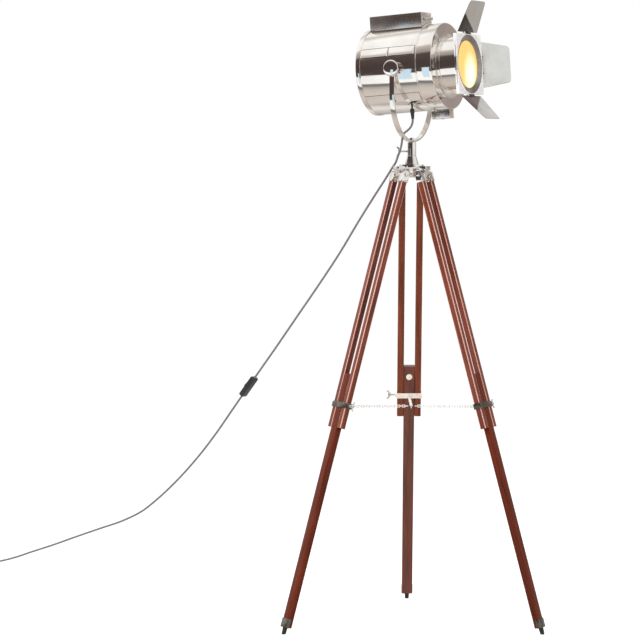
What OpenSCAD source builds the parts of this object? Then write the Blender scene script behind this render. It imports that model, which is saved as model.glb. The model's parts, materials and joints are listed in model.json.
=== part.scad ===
// Tripod spotlight floor lamp: wooden two-stage legs, a chromed yoke and a drum spotlight with barn doors.
// Origin on the floor under the pan axis, +Z up, the head faces +X.

/* [Tripod stance] */
// Height of the leg hinge bolts above the floor
hinge_height = 1156; // [1100:2:1200]
// Distance of the hinge bolts from the pan axis
hinge_radius = 35.5; // [35:0.5:39]
// Lean of each leg from the vertical, in degrees
leg_tilt = 16.3; // [14:0.1:18]
// Turn of the first leg from straight ahead, in degrees
leg_turn = -3; // [-20:1:20]

/* [Leg rails] */
// Depth of the upper rails, towards the pan axis
rail_depth = 16; // [14:0.5:18]
// Width of one upper rail
upper_rail_w = 17; // [15:0.5:19]
// Gap between the two upper rails of a leg
rail_gap = 29; // [27:0.5:32]
// Chamfer along the rails' edges
rail_chamfer = 1.6; // [0.5:0.1:2.5]
// Distance from the hinge bolt down to the upper rails' end
upper_rail_end = 668; // [640:2:690]
// Length of lower rail that lies between the upper rails
rail_overlap = 141; // [130:1:160]
// Side clearance of the lower rail between the upper rails
slide_clear = 0.3; // [0.2:0.05:0.5]

/* [Leg fittings] */
// Wall of the chromed caps on the upper rails
ferrule_wall = 1.2; // [1:0.1:1.6]
// Distance from the hinge bolt down to the lower edge of the caps
ferrule_drop = 20; // [18:0.5:26]
// Radius of the rounded top of the caps
ferrule_top_r = 9; // [8.2:0.1:9.5]
// Radius of the hinge bolts
hinge_bolt_r = 3; // [2.5:0.1:3.5]
// Distance from the upper rails' end up to the middle of the clamp collar
collar_inset = 59; // [50:1:70]
// Height of the clamp collar
collar_h = 14; // [10:0.5:18]
// Thickness of the collar's band
collar_wall = 2; // [1.5:0.1:2.5]
// Distance of the guide screw below the lower rail's top
guide_screw_drop = 29; // [20:1:34]
// Radius of the guide screw's flat head
guide_head_r = 8.2; // [6:0.2:9]
// Height of the metal shoe on a leg's outer edge
shoe_h = 22; // [16:1:30]
// Thickness of the metal shoe
shoe_wall = 1.2; // [1:0.1:1.6]
// Length of rubber between the shoe and the floor
tip_h = 16; // [12:0.5:20]
// Radius of the rubber tip where it meets the shoe
tip_top_r = 6.4; // [5.5:0.1:7]
// Radius of the rubber tip near the floor
tip_bottom_r = 5.2; // [4.5:0.1:6]

/* [Wing screws] */
// Radius of a wing screw's shank
wing_shank_r = 2.5; // [2:0.1:3]
// Width across a wing screw's wings
wing_span = 24; // [20:0.5:28]
// Bare shank between the clamped part and the wings of a leg's screw
wing_reach = 11; // [8:0.5:16]
// Bare shank between the pan socket and the wings of its screw
pan_wing_reach = 17; // [16.5:0.5:22]

/* [Chain] */
// Length of one chain link
link_l = 12.5; // [11.5:0.5:14]
// Width of one chain link
link_w = 7.4; // [6.8:0.2:8]
// Wire thickness of the links
link_t = 1.9; // [1.6:0.1:2.1]
// Outer radius of the ring where the arms meet
chain_ring_r = 6; // [5:0.5:6.5]
// How far the middle ring hangs below the collars' eyes
chain_sag = 7.6; // [4:0.2:12]

/* [Hub and pan socket] */
// Thickness of the hub's plate
hub_plate_t = 10; // [8:0.5:14]
// Radius of the hub's plate
hub_plate_r = 32; // [29:0.5:34]
// Height of the hub plate's underside above the hinge bolts
hub_lift = 15; // [13:0.5:18]
// Radius of the pan socket's cylinder
socket_r = 11.5; // [10.5:0.1:13]
// Height of the pan socket's cylinder
socket_h = 35.5; // [32:0.5:40]
// Radius of the pan socket's conical foot
flare_r = 18; // [15:0.5:20]
// Height of the conical foot
flare_h = 22; // [18:0.5:26]
// Radius of the spigot that turns in the socket
spigot_r = 7; // [6:0.1:8]

/* [Yoke] */
// Way between the drum and the yoke's arms
yoke_gap = 6; // [5.5:0.5:9]
// Thickness of the yoke's strap
strap_t = 4; // [3:0.5:5]
// Width of the yoke's strap
strap_w = 14; // [12:0.5:20]
// Straight length of the yoke's arms below the tilt axis
arm_straight = 66; // [62:1:75]
// Radius of the tilt knobs
knob_r = 21; // [18:0.5:26]
// Radius of the tilt knobs' threaded studs
stud_r = 4; // [3:0.1:5]
// Radius of the thinner ends of those studs, inside the trunnions
stud_tip_r = 2.6; // [2:0.1:2.8]

/* [Drum] */
// Upward tilt of the head, in degrees
head_tilt = 4; // [0:0.5:10]
// Radius of the drum
drum_r = 109; // [107:0.5:109.5]
// Length of the drum behind the tilt axis
drum_back = 104; // [100:1:108]
// Distance from the tilt axis forward to the front cover's face
drum_front = 104; // [100:1:108]
// Thickness of the drum's sheet
sheet_t = 1; // [0.8:0.1:1.3]
// Distance from the tilt axis forward to the seam bead
seam_x = 61; // [59:1:70]
// Height of the pressed ventilation hoods
hood_h = 3; // [2:0.2:4]

/* [Lens end] */
// Radius of the nose tube
nose_r = 74; // [72:0.5:74.5]
// Distance from the tilt axis forward to the nose tube's end
nose_end = 155; // [148:1:160]
// Radius of the lens
lens_r = 62; // [58:0.5:64]
// Thickness of the lens at its edge
lens_edge = 5; // [4:0.5:6]
// Side of the square front frame
frame_side = 152; // [150.5:0.5:158]
// Depth of the square front frame
frame_depth = 8; // [7:0.5:12]

/* [Barn doors] */
// Width of a leaf at its hinge
leaf_base = 118; // [100:1:122]
// Width of a leaf at its outer edge
leaf_tip = 92; // [80:1:98]
// Length of a leaf from its hinge
leaf_l = 85; // [70:1:90]
// Thickness of a leaf
leaf_t = 1.2; // [1:0.1:1.6]
// Length of the hinge barrel in the middle of a leaf
barrel_l = 34; // [28:1:40]
// Opening of the top leaf from the frame's plane, in degrees
top_open = 25; // [10:1:80]
// Opening of the bottom leaf
bottom_open = 42; // [10:1:80]
// Opening of the leaf on the lamp's left
left_open = 36; // [10:1:80]
// Opening of the leaf on the lamp's right
right_open = 25; // [10:1:80]

/* [Boxes on the drum] */
// Length of the top box
top_box_l = 145; // [120:1:150]
// Width of the top box
top_box_w = 62; // [50:1:70]
// Height of the top box's lid above the tilt axis
top_box_z = 141; // [135:1:146]
// Distance from the tilt axis back to the top box's rear end
top_box_back = 96; // [90:1:96]
// Length of the bottom box
bottom_box_l = 50; // [44:1:52]
// Width of the bottom box
bottom_box_w = 27; // [22:1:32]
// Depth of the bottom box below the tilt axis
bottom_box_z = 132; // [126:1:135]

/* [Lamp inside] */
// Radius of the bulb's glass
bulb_r = 30; // [25:1:32]
// Radius of the lampholder
holder_r = 19; // [18:0.5:22]
// Rim radius of the reflector
reflector_r = 66; // [60:1:72]

/* [Cord] */
// Diameter of the cord
cord_d = 5.5; // [5:0.1:6]
// Length of the inline switch
switch_l = 64; // [55:1:70]
// Width of the inline switch
switch_w = 22; // [18:0.5:26]
// Thickness of the inline switch
switch_t = 14; // [12:0.5:18]
// Radius at the middle of the stored coil's turns
coil_r = 30; // [28:0.5:34]

/* [Hidden] */
$fn = 64;
wood = "#7e3b2b";
dark_wood = "#6a2f22";
chrome = [0.80, 0.77, 0.74];
pale_chrome = [0.88, 0.86, 0.83];
dark_metal = [0.33, 0.31, 0.28];
black = [0.07, 0.07, 0.07];
fit = 0.05;            // radial running clearance of pins and shafts
clear = 0.3;           // gap between pieces that move past each other
eps = 0.02;            // gap between touching curved faces
big = 400;

// Legs
leg_reach = hinge_height / cos(leg_tilt);
leg_w = rail_gap + 2 * upper_rail_w;
rail_top = ferrule_top_r - 1;
lower_w = rail_gap - 2 * slide_clear;
lower_depth = rail_depth - 0.4;
lower_top = upper_rail_end - rail_overlap;
lower_end = leg_reach - tip_h - shoe_wall;
ferrule_w = upper_rail_w + 2 * ferrule_wall;
ferrule_depth = rail_depth + 2 * ferrule_wall;
tongue_w = rail_gap - 2 * ferrule_wall - 2 * clear;
tongue_r = ferrule_top_r - 0.5;
collar_drop = upper_rail_end - collar_inset;
bolt_half = rail_gap / 2 + upper_rail_w + ferrule_wall + clear;
guide_shank_r = 2.5;
collar_half_w = leg_w / 2 + fit + collar_wall;
collar_half_d = rail_depth / 2 + fit + collar_wall;
collar_boss_r = 6.5;
collar_boss_l = 4;
tip_shift = 3;
shoe_flap = 8;

// Chain: an eye on each collar carries one arm of links, and the rear leg's arm ends in the ring
eye_r = 3.2;
eye_x = -collar_half_d - eye_r - 0.6;
eye_y = 2.6;
eye_t = 1.8;
eye_web = 4;
eye_pin_r = 1.1;
eye_reach = hinge_radius + collar_drop * sin(leg_tilt) + eye_x * cos(leg_tilt);
ring_wire = 2;
ring_gap = 3.5;
chain_drop = atan2(chain_sag, eye_reach);
chain_l = eye_reach / cos(chain_drop);
link_gap = 0.3;
link_play = 0.7;
arm_start = -eye_pin_r - link_gap - link_t;
ring_arm_l = chain_l - chain_ring_r + ring_wire + link_play + link_t;
free_arm_l = chain_l - chain_ring_r - ring_gap;

// Hub
hub_bottom = hinge_height + hub_lift;
hub_top = hub_bottom + hub_plate_t;
lug_w = tongue_w + 1.5;
lug_past = 11.5;
lug_drop = 4;
lug_reach = hinge_radius + lug_past;
socket_base = hub_top + flare_h;
socket_top = socket_base + socket_h;
pan_screw_z = socket_base + socket_h / 3;
pan_screw_turn = 205;
flare_foot = 2;
spigot_depth = 5;

// Yoke and tilt axis
yoke_r = drum_r + yoke_gap;
strap_gap = 0.3;
tilt_height = socket_top + strap_gap + strap_t + yoke_r + arm_straight;
arm_out = yoke_r + strap_t;
arm_middle = yoke_r + strap_t / 2;
yoke_eye_r = strap_w / 2 + 2;
nut_r = 7;
nut_h = 5.5;
nut_seat = yoke_r - sqrt(yoke_r * yoke_r - nut_r * nut_r) + eps;
trunnion_r = 12;
knob_t = 11;
knob_neck = 3;
knob_neck_r = 9;
stud_in = 3.5;

// Head
cover_r = drum_r + sheet_t + 0.2;
bead_r = 1.6;
rear_wall = 1.5;
rear_lip = 9;
rear_dish = 7;
dish_r = drum_r - 21;
rear_face = -drum_back - 2 - rear_wall;
hood_rows = [17, -49];
hood_sweep = 12.5;
hood_split = -17;
hood_spans = [[rear_lip - drum_back, hood_split - 1], [hood_split + 1, seam_x - 5]];
vent_count = 12;
vent_r = 5;
vent_ring_r = dish_r - 26;
gland_x = 24;
gland_y = -64;
gland_wire_r = 2.4;
gland_wire_l = 18;
gland_l = 26;
gland_r = 5.6;
ring_front = nose_end + frame_depth;
hinge_pin_r = 1.5;
barrel_r = 3.2;
leaf_hinge_r = frame_side / 2 + barrel_r + 0.2;
leaf_hinge_x = ring_front - barrel_r;
ear_w = 3.4;
ear_y = (barrel_l + ear_w) / 2 + clear;
leaf_start = barrel_r + 1.2;
ear_end = ear_y + ear_w / 2 + clear;
leaf_corner = 7;
holder_front = -45;
reflector_hole_r = 17;
reflector_l = 38;
bulb_x = 20;
bulb_neck_r = 14;
bulb_cap_r = 13;
bulb_wall = 1;
box_wall = 1.2;
box_hole_y = 16;
box_screw_z = top_box_z - 17;
box_screw_r = 2;
screw_head_r = 4.5;
frame_wall = 1.2;
frame_inside = frame_side - 2 * frame_wall;

// Cord route, in the part's own frame: from the gland through the yoke and past the pan screw to the floor
gland_seat = -88.2;
gland_low = gland_wire_l - 3 + gland_l + clear * 2 - gland_seat;
cord_exit = [
    gland_x * cos(head_tilt) + gland_low * sin(head_tilt),
    gland_y,
    tilt_height + gland_x * sin(head_tilt) - gland_low * cos(head_tilt)
];
upper_rings = 6;
lower_rings = 10;
cord_route = [
    cord_exit, [31.5, -63, 1286.5], [24.5, -58.5, 1276], [12, -51.5, 1267.5], [0, -44, 1261.5],
    [-8, -37, 1255.5], [-12, -32, 1246], [-14.5, -29.5, 1235.5], [-17.5, -28.5, 1224], [-21.5, -28.5, 1212],
    [-29, -23.5, 1200], [-37.5, -16.5, 1187], [-53, -9, 1170], [-69, -1, 1152], [-117, 13.5, 1094],
    [-161, 26, 1039], [-229, 45, 950], [-297, 58, 865], [-371, 72, 776], [-449, 88, 683],
    [-493, 96, 631], [-580, 113, 529], [-652, 128, 444], [-690, 135, 402], [-734, 144, 358], [-784, 154, 312],
    [-868, 171, 245], [-910, 179, 216], [-984, 195, 181], [-1079, 214, 148], [-1169, 233, 117],
    [-1260, 254, 85], [-1345, 273, 57], [-1430, 291, 29], [-1505, 305, 11], [-1592, 320, 2.8]
];
coil_centre = [-1600, 282, 0];
coil_h = 11;
coil_band = 11;
switch_leg = 20;
switch_share = 0.48;
switch_from = cord_route[switch_leg];
switch_step = cord_route[switch_leg + 1] - switch_from;
switch_at = switch_from + switch_share * switch_step;
switch_corner = 3;
rocker_lean = 8;
plug_at = [-1576, 219.5, 0];
plug_turn = -40;
plug_l = 36;
plug_w = 26;
plug_t = 14;
plug_base = 6;
plug_pin_r = 2;
plug_pin_l = 19;
plug_pin_gap = 18.6;

// ---- Placing ----

module at_leg(n)
    rotate([0, 0, leg_turn + 120 * n]) translate([hinge_radius, 0, hinge_height]) rotate([0, -leg_tilt, 0])
        children();

module at_head() translate([0, 0, tilt_height]) rotate([0, -head_tilt, 0]) children();

// Edge 0 is the top of the front frame, 1 the lamp's right, 2 the bottom and 3 its left
module at_edge(k) at_head() rotate([90 * k, 0, 0]) translate([leaf_hinge_x, 0, leaf_hinge_r]) children();

// A solid of revolution about the head's axis, from points of [radius, distance forward]
module turned(points) rotate([0, 90, 0]) rotate_extrude($fn = 96) polygon(points);

module tube(r_out, r_in, x0, x1) turned([[r_in, x0], [r_out, x0], [r_out, x1], [r_in, x1]]);

module bar(r, x0, x1) translate([x0, 0, 0]) rotate([0, 90, 0]) cylinder(r = r, h = x1 - x0);

module y_rod(r, y0, y1) translate([0, y0, 0]) rotate([-90, 0, 0]) cylinder(r = r, h = y1 - y0);

module z_rod(r, z0, z1) translate([0, 0, z0]) cylinder(r = r, h = z1 - z0);

function arc(c, r, a0, a1, steps) = [
    for (i = [0:steps]) let (a = a0 + (a1 - a0) * i / steps) [c[0] + r * cos(a), c[1] + r * sin(a)]
];

// ---- Legs ----

module chamfered(d, w, c) {
    x = d / 2;
    y = w / 2;
    polygon([
        [x - c, -y], [x, c - y], [x, y - c], [x - c, y],
        [c - x, y], [-x, y - c], [-x, c - y], [c - x, -y]
    ]);
}

module rail(d, w, z0, z1) translate([0, 0, -z1]) linear_extrude(z1 - z0) chamfered(d, w, rail_chamfer);

module upper_rails(n)
    color(wood) at_leg(n) for (s = [-1, 1])
        translate([0, s * (rail_gap + upper_rail_w) / 2, 0])
            rail(rail_depth, upper_rail_w, rail_top, upper_rail_end);

module ferrules(n)
    color(chrome) at_leg(n) for (s = [-1, 1]) difference() {
        union() {
            translate([0, s * (rail_gap + upper_rail_w) / 2, 0]) {
                y_rod(ferrule_top_r, -ferrule_w / 2, ferrule_w / 2);
                translate([-ferrule_top_r, -ferrule_w / 2, -rail_top - 2])
                    cube([2 * ferrule_top_r, ferrule_w, rail_top + 2]);
                translate([-ferrule_depth / 2, -ferrule_w / 2, -ferrule_drop])
                    cube([ferrule_depth, ferrule_w, ferrule_drop - rail_top + 1]);
            }
        }
        translate([0, s * (rail_gap + upper_rail_w) / 2, 0])
            rail(rail_depth, upper_rail_w, rail_top, ferrule_drop + 1);
        y_rod(hinge_bolt_r + fit, -big, big);
    }

module hinge_bolts()
    color(pale_chrome) for (n = [0:2]) at_leg(n) {
        y_rod(hinge_bolt_r, -bolt_half, bolt_half);
        y_rod(hinge_bolt_r * 1.8, bolt_half, bolt_half + 3);
        y_rod(hinge_bolt_r * 1.6, -bolt_half - 3, -bolt_half);
    }

module collar(n)
    color(chrome) at_leg(n) difference() {
        union() {
            translate([-collar_half_d, -collar_half_w, -collar_drop - collar_h / 2])
                cube([2 * collar_half_d, 2 * collar_half_w, collar_h]);
            translate([0, 0, -collar_drop])
                y_rod(collar_boss_r, collar_half_w - 1, collar_half_w + collar_boss_l);
            translate([eye_x, 0, -collar_drop]) for (s = [-1, 1])
                y_rod(eye_r, s * eye_y - eye_t / 2, s * eye_y + eye_t / 2);
            for (s = [-1, 1]) translate([eye_x, s * eye_y - eye_t / 2, -collar_drop - eye_web / 2])
                cube([eye_r + 1.2, eye_t, eye_web]);
            translate([eye_x, 0, -collar_drop]) y_rod(eye_pin_r, -eye_y - 0.4, eye_y + 0.4);
        }
        translate([-rail_depth / 2 - fit, -leg_w / 2 - fit, -collar_drop - collar_h])
            cube([rail_depth + 2 * fit, leg_w + 2 * fit, 2 * collar_h]);
        translate([0, 0, -collar_drop]) y_rod(wing_shank_r + fit, leg_w / 2 - 1, big);
    }

// A wing screw along +Y: its tip at y = 0, bare to y = bare, then its hub and two flared wings
module wing_screw(bare) {
    y_rod(wing_shank_r, 0, bare + 1);
    y_rod(5.2, bare, bare + 7);
    translate([0, bare, 0]) for (s = [0, 180]) rotate([0, s, 0]) translate([1.3, 0, 0]) rotate([0, -90, 0])
        linear_extrude(2.6) polygon([[0, 1], [4.5, 1.5], [8, 3], [wing_span / 2, 7], [wing_span / 2, 10.5],
            [wing_span / 2 - 1.6, 11.5], [8, 9], [4.5, 6.6], [0, 6.2]]);
}

module wing_bolt(n)
    color(pale_chrome) at_leg(n) translate([0, leg_w / 2 + fit, -collar_drop])
        wing_screw(collar_wall + collar_boss_l + wing_reach);

module lower_rail(n)
    color(dark_wood) at_leg(n) difference() {
        rail(lower_depth, lower_w, lower_top, lower_end);
        translate([-lower_depth / 2 - 1, 0, -lower_top - guide_screw_drop]) rotate([0, 90, 0])
            cylinder(r = guide_shank_r + eps, h = 11);
    }

// The guide screw near the rail's top and the shoe on its outer lower edge
module rail_fittings(n)
    color(pale_chrome) at_leg(n) {
        translate([-lower_depth / 2, 0, -lower_top - guide_screw_drop]) rotate([0, 90, 0]) {
            cylinder(r = guide_shank_r, h = 9);
            translate([0, 0, -1.6]) cylinder(r = guide_head_r, h = 1.6);
        }
        difference() {
            translate([lower_depth / 2 - shoe_flap, -lower_w / 2 - shoe_wall, -lower_end - shoe_wall])
                cube([shoe_flap + shoe_wall, lower_w + 2 * shoe_wall, shoe_h + shoe_wall]);
            translate([lower_depth / 2 - shoe_flap - 1, -lower_w / 2, -lower_end])
                cube([shoe_flap + 1, lower_w, shoe_h + 1]);
        }
        translate([tip_shift, 0, -lower_end - shoe_wall]) cylinder(r = tip_top_r + 0.6, h = shoe_wall);
    }

module foot_tip(n)
    color(black) intersection() {
        at_leg(n) translate([tip_shift, 0, -leg_reach - tip_h])
            cylinder(r1 = tip_bottom_r - (tip_top_r - tip_bottom_r), r2 = tip_top_r, h = 2 * tip_h);
        translate([-big * 2, -big * 2, 0]) cube([4 * big, 4 * big, big]);
    }

// One flat oval link, lying along +X with its middle at the origin
module link() {
    half = (link_l - link_w) / 2;
    translate([0, 0, -link_t / 2]) linear_extrude(link_t) difference() {
        union() {
            for (s = [-1, 1]) translate([s * half, 0]) circle(link_w / 2);
            square([2 * half, link_w], center = true);
        }
        for (s = [-1, 1]) translate([s * half, 0]) circle(link_w / 2 - link_t);
        square([2 * half, link_w - 2 * link_t], center = true);
    }
}

// Links from the collar's eye towards the pan axis; the last one lies flat
module chain(n) {
    with_ring = n == 1;
    run = (with_ring ? ring_arm_l : free_arm_l) - arm_start - link_l;
    count = 2 * ceil((run / (link_l - 2 * link_t - link_play) + 1) / 2);
    color(pale_chrome) at_leg(n) translate([eye_x, 0, -collar_drop]) rotate([0, leg_tilt - chain_drop, 0]) {
        for (i = [0:count - 1]) translate([-arm_start - link_l / 2 - i * run / (count - 1), 0, 0])
            rotate([(i + 1) % 2 * 90, 0, 0]) link();
        if (with_ring) translate([-chain_l, 0, 0]) rotate([90, 0, 0]) rotate_extrude()
            translate([chain_ring_r - ring_wire, -ring_wire / 2]) square(ring_wire);
    }
}

// ---- Hub, pan socket and yoke ----

module hub()
    color(chrome) difference() {
        union() {
            z_rod(hub_plate_r, hub_bottom, hub_top);
            for (n = [0:2]) {
                rotate([0, 0, leg_turn + 120 * n])
                    translate([hub_plate_r / 2, -lug_w / 2, hub_bottom - lug_drop])
                        cube([lug_reach - hub_plate_r / 2, lug_w, hub_plate_t]);
                at_leg(n) rotate([0, leg_tilt, 0]) {
                    translate([-tongue_r, -tongue_w / 2, 0]) cube([2 * tongue_r, tongue_w, hub_lift]);
                    y_rod(tongue_r, -tongue_w / 2, tongue_w / 2);
                }
            }
        }
        for (n = [0:2]) at_leg(n) y_rod(hinge_bolt_r + eps, -big / 10, big / 10);
    }

module pan_socket()
    color(chrome) difference() {
        union() {
            z_rod(socket_r, socket_base - 1, socket_top);
            translate([0, 0, hub_top]) rotate_extrude() polygon([[0, 0], [flare_r, 0],
                [flare_r, flare_foot], [socket_r + 0.3, flare_h], [0, flare_h]]);
        }
        z_rod(spigot_r + fit, socket_base - spigot_depth - 1, socket_top + 1);
        translate([0, 0, pan_screw_z]) rotate([0, 0, pan_screw_turn - 90])
            y_rod(wing_shank_r + fit, 0, big / 10);
    }

module pan_lock_screw()
    color(pale_chrome) translate([0, 0, pan_screw_z]) rotate([0, 0, pan_screw_turn - 90])
        translate([0, spigot_r + 2 * fit, 0]) wing_screw(socket_r - spigot_r + pan_wing_reach);

module yoke()
    color(chrome) translate([0, 0, tilt_height]) difference() {
        union() {
            translate([0, 0, -arm_straight]) rotate([0, 90, 0]) rotate([0, 0, -90])
                rotate_extrude(angle = 180, $fn = 96)
                    translate([yoke_r, -strap_w / 2]) square([strap_t, strap_w]);
            for (s = [-1, 1]) {
                translate([-strap_w / 2, s * arm_middle - strap_t / 2, -arm_straight])
                    cube([strap_w, strap_t, arm_straight]);
                y_rod(yoke_eye_r, s * arm_middle - strap_t / 2, s * arm_middle + strap_t / 2);
            }
        }
        y_rod(stud_r + fit, -big, big);
        z_rod(stud_r + eps, -big, -arm_straight);
    }

// The spigot under the strap, its stud through the strap and the hexagon nut on top
module pan_spigot() {
    strap_low = tilt_height - arm_straight - arm_out;
    strap_high = strap_low + strap_t;
    color(pale_chrome) {
        z_rod(spigot_r, socket_base - spigot_depth, strap_low - eps);
        z_rod(stud_r, strap_low - 1, strap_high + 7);
        difference() {
            translate([0, 0, strap_high + nut_seat]) cylinder(r = nut_r, h = nut_h, $fn = 6);
            z_rod(stud_r, strap_high - 1, strap_high + 8);
        }
    }
}

// A domed knob along +Y with its threaded stud, whose thinner end runs into the trunnion
module tilt_knob(s)
    color(pale_chrome) translate([0, 0, tilt_height]) rotate([0, 0, s > 0 ? 0 : 180]) {
        y_rod(stud_tip_r, yoke_r - stud_in, yoke_r + 1);
        y_rod(stud_r, yoke_r, arm_out + knob_neck);
        translate([0, arm_out + clear, 0]) rotate([-90, 0, 0]) rotate_extrude() polygon(concat(
            [[0, 0], [knob_neck_r, 0], [knob_neck_r, knob_neck], [knob_r - 1.5, knob_neck],
                [knob_r, knob_neck + 1.5], [knob_r, knob_neck + 3.5]],
            [for (i = [1:8]) let (a = 90 * i / 8)
                [(knob_r - 0.5) * cos(a), knob_neck + 4 + (knob_t - 6) * sin(a)]]));
    }

// ---- Head ----

module trunnions()
    color(dark_metal) at_head() for (s = [0, 180]) rotate([0, 0, s]) difference() {
        y_rod(trunnion_r, drum_r - 2, yoke_r - clear);
        tube(drum_r + eps, 1, -big / 10, big / 10);
        y_rod(stud_r + fit, yoke_r - stud_in - 1, yoke_r + 1);
    }

// A pressed hood over the drum's wall, open along its lower edge
module hood(low, x0, x1) {
    rotate([0, 90, 0]) rotate([0, 0, -90 - low - hood_sweep])
        rotate_extrude(angle = hood_sweep) translate([drum_r - sheet_t / 2, x0])
            square([hood_h + sheet_t / 2, x1 - x0]);
}

module hood_hollow(low, x0, x1) {
    rim = 0.6;
    rotate([0, 90, 0]) rotate([0, 0, -90 - low - hood_sweep + rim])
        rotate_extrude(angle = hood_sweep) translate([drum_r - 2 * sheet_t, x0 + sheet_t])
            square([hood_h + sheet_t * 1.2, x1 - x0 - 2 * sheet_t]);
}

module drum()
    color(chrome) at_head() difference() {
        union() {
            tube(drum_r, drum_r - sheet_t, -drum_back, drum_front - 6);
            for (side = [0, 1], low = hood_rows, span = hood_spans)
                mirror([0, side, 0]) hood(low, span[0], span[1]);
        }
        for (side = [0, 1], low = hood_rows, span = hood_spans)
            mirror([0, side, 0]) hood_hollow(low, span[0], span[1]);
        translate([gland_x, gland_y, -drum_r]) z_rod(gland_wire_r + fit, -1, 40);
    }

module rear_cover()
    color(chrome) at_head() difference() {
        turned([
            [drum_r + eps, rear_lip - drum_back], [cover_r, rear_lip - drum_back],
            [cover_r, rear_face + rear_wall], [cover_r - rear_wall, rear_face],
            [dish_r, rear_face], [dish_r - 6, rear_face - rear_dish],
            [0, rear_face - rear_dish], [0, rear_face + rear_wall - rear_dish],
            [dish_r - 7, rear_face + rear_wall - rear_dish], [dish_r - 1, rear_face + rear_wall],
            [drum_r - 2, rear_face + rear_wall], [drum_r - 2, -drum_back - eps],
            [drum_r + eps, -drum_back - eps]
        ]);
        for (i = [0:vent_count - 1]) rotate([360 / vent_count * i, 0, 0]) translate([0, 0, vent_ring_r])
            rotate([0, -90, 0]) cylinder(r = vent_r, h = big);
    }

module front_cover()
    color(chrome) at_head() {
        tube(cover_r, drum_r + eps, seam_x, drum_front);
        tube(cover_r, nose_r + eps, drum_front - 1.2, drum_front);
        rotate([0, 90, 0]) rotate_extrude($fn = 96) difference() {
            translate([cover_r, seam_x]) circle(bead_r, $fn = 24);
            translate([0, seam_x - 5]) square([drum_r + eps, 10]);
        }
    }

module nose()
    color(chrome) at_head() {
        tube(nose_r, nose_r - sheet_t, drum_front - 4, nose_end);
        tube(nose_r + 5, nose_r - 0.5, drum_front + eps, drum_front + 1.2);
        tube(nose_r + 2, nose_r - 0.5, drum_front + 3.5, drum_front + 6);
        tube(nose_r - 0.5, lens_r - 4, nose_end - lens_edge - 1.2, nose_end - lens_edge);
        tube(nose_r - 0.5, lens_r + eps, nose_end - lens_edge, nose_end - 1);
    }

module lens() {
    crown = 5;
    dome_r = (lens_r * lens_r + crown * crown) / (2 * crown);
    sweep = asin(lens_r / dome_r);
    color([1, 0.86, 0.52, 0.9]) at_head() turned(concat(
        [[0, nose_end - lens_edge], [lens_r, nose_end - lens_edge]],
        [for (i = [0:10]) let (a = sweep * (1 - i / 10))
            [dome_r * sin(a), nose_end + crown - dome_r + dome_r * cos(a)]]));
}

module lens_ring()
    color(dark_metal) at_head() turned([
        [lens_r - 2, nose_end + 0.8], [lens_r - 1, nose_end + 0.8], [lens_r - 1, nose_end + 2],
        [nose_r + 0.5, ring_front], [nose_r - 0.8, ring_front], [lens_r - 2.2, nose_end + 2.4]
    ]);

module leaf_frame()
    color(pale_chrome) at_head() {
        difference() {
            translate([nose_end, -frame_side / 2, -frame_side / 2])
                cube([frame_depth, frame_side, frame_side]);
            translate([nose_end + frame_wall, -frame_inside / 2, -frame_inside / 2])
                cube([frame_depth - 2 * frame_wall, frame_inside, frame_inside]);
            bar(nose_r - 2, 0, big);
            bar(nose_r + 0.8, ring_front - 3, big);
        }
        for (k = [0:3]) rotate([90 * k, 0, 0]) translate([leaf_hinge_x, 0, leaf_hinge_r])
            for (s = [-1, 1]) difference() {
                union() {
                    y_rod(barrel_r, s * ear_y - ear_w / 2, s * ear_y + ear_w / 2);
                    translate([-barrel_r, s * ear_y - ear_w / 2, -barrel_r - 0.2])
                        cube([2 * barrel_r, ear_w, barrel_r + 0.2]);
                }
                y_rod(hinge_pin_r, -big / 10, big / 10);
            }
    }

module leaf_pins()
    color(dark_metal) for (k = [0:3]) at_edge(k)
        y_rod(hinge_pin_r, -barrel_l / 2 - clear - ear_w, barrel_l / 2 + clear + ear_w);

// One leaf: a barrel on its pin and a tapering plate with round corners, cut back round the ears
module leaf(k, opening)
    color(pale_chrome) at_edge(k) rotate([0, opening, 0]) difference() {
        union() {
            y_rod(barrel_r, -barrel_l / 2, barrel_l / 2);
            translate([leaf_t / 2, 0, 0]) rotate([0, -90, 0]) linear_extrude(leaf_t) polygon(concat(
                [[0, barrel_l / 2], [0, -barrel_l / 2], [leaf_start, -barrel_l / 2], [leaf_start, -ear_end],
                    [leaf_t, -ear_end], [leaf_t, -leaf_base / 2], [leaf_start + 3, -leaf_base / 2]],
                arc([leaf_l - leaf_corner, leaf_corner - leaf_tip / 2], leaf_corner, -80, 0, 8),
                arc([leaf_l - leaf_corner, leaf_tip / 2 - leaf_corner], leaf_corner, 0, 80, 8),
                [[leaf_start + 3, leaf_base / 2], [leaf_t, leaf_base / 2], [leaf_t, ear_end],
                    [leaf_start, ear_end], [leaf_start, barrel_l / 2]]));
        }
        y_rod(hinge_pin_r + fit, -big / 10, big / 10);
    }

// A point of the reflector's curve, a share of the way from its hole to its rim
function reflector_point(share, lift) = [
    reflector_hole_r + (reflector_r - reflector_hole_r) * share,
    holder_front + lift + reflector_l * share * share
];

module reflector()
    color(pale_chrome) at_head() turned(concat(
        [for (i = [0:10]) reflector_point(i / 10, 0)],
        [for (i = [10:-1:0]) reflector_point(i / 10, sheet_t)]));

module bulb()
    color([1, 0.95, 0.85]) at_head() difference() {
        union() {
            translate([bulb_x, 0, 0]) sphere(bulb_r);
            bar(bulb_neck_r, holder_front + 2, bulb_x);
            bar(bulb_cap_r, holder_front - 20, holder_front + 3);
        }
        translate([bulb_x, 0, 0]) sphere(bulb_r - bulb_wall);
        bar(bulb_neck_r - 2 * bulb_wall, holder_front + 4, bulb_x);
    }

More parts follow.
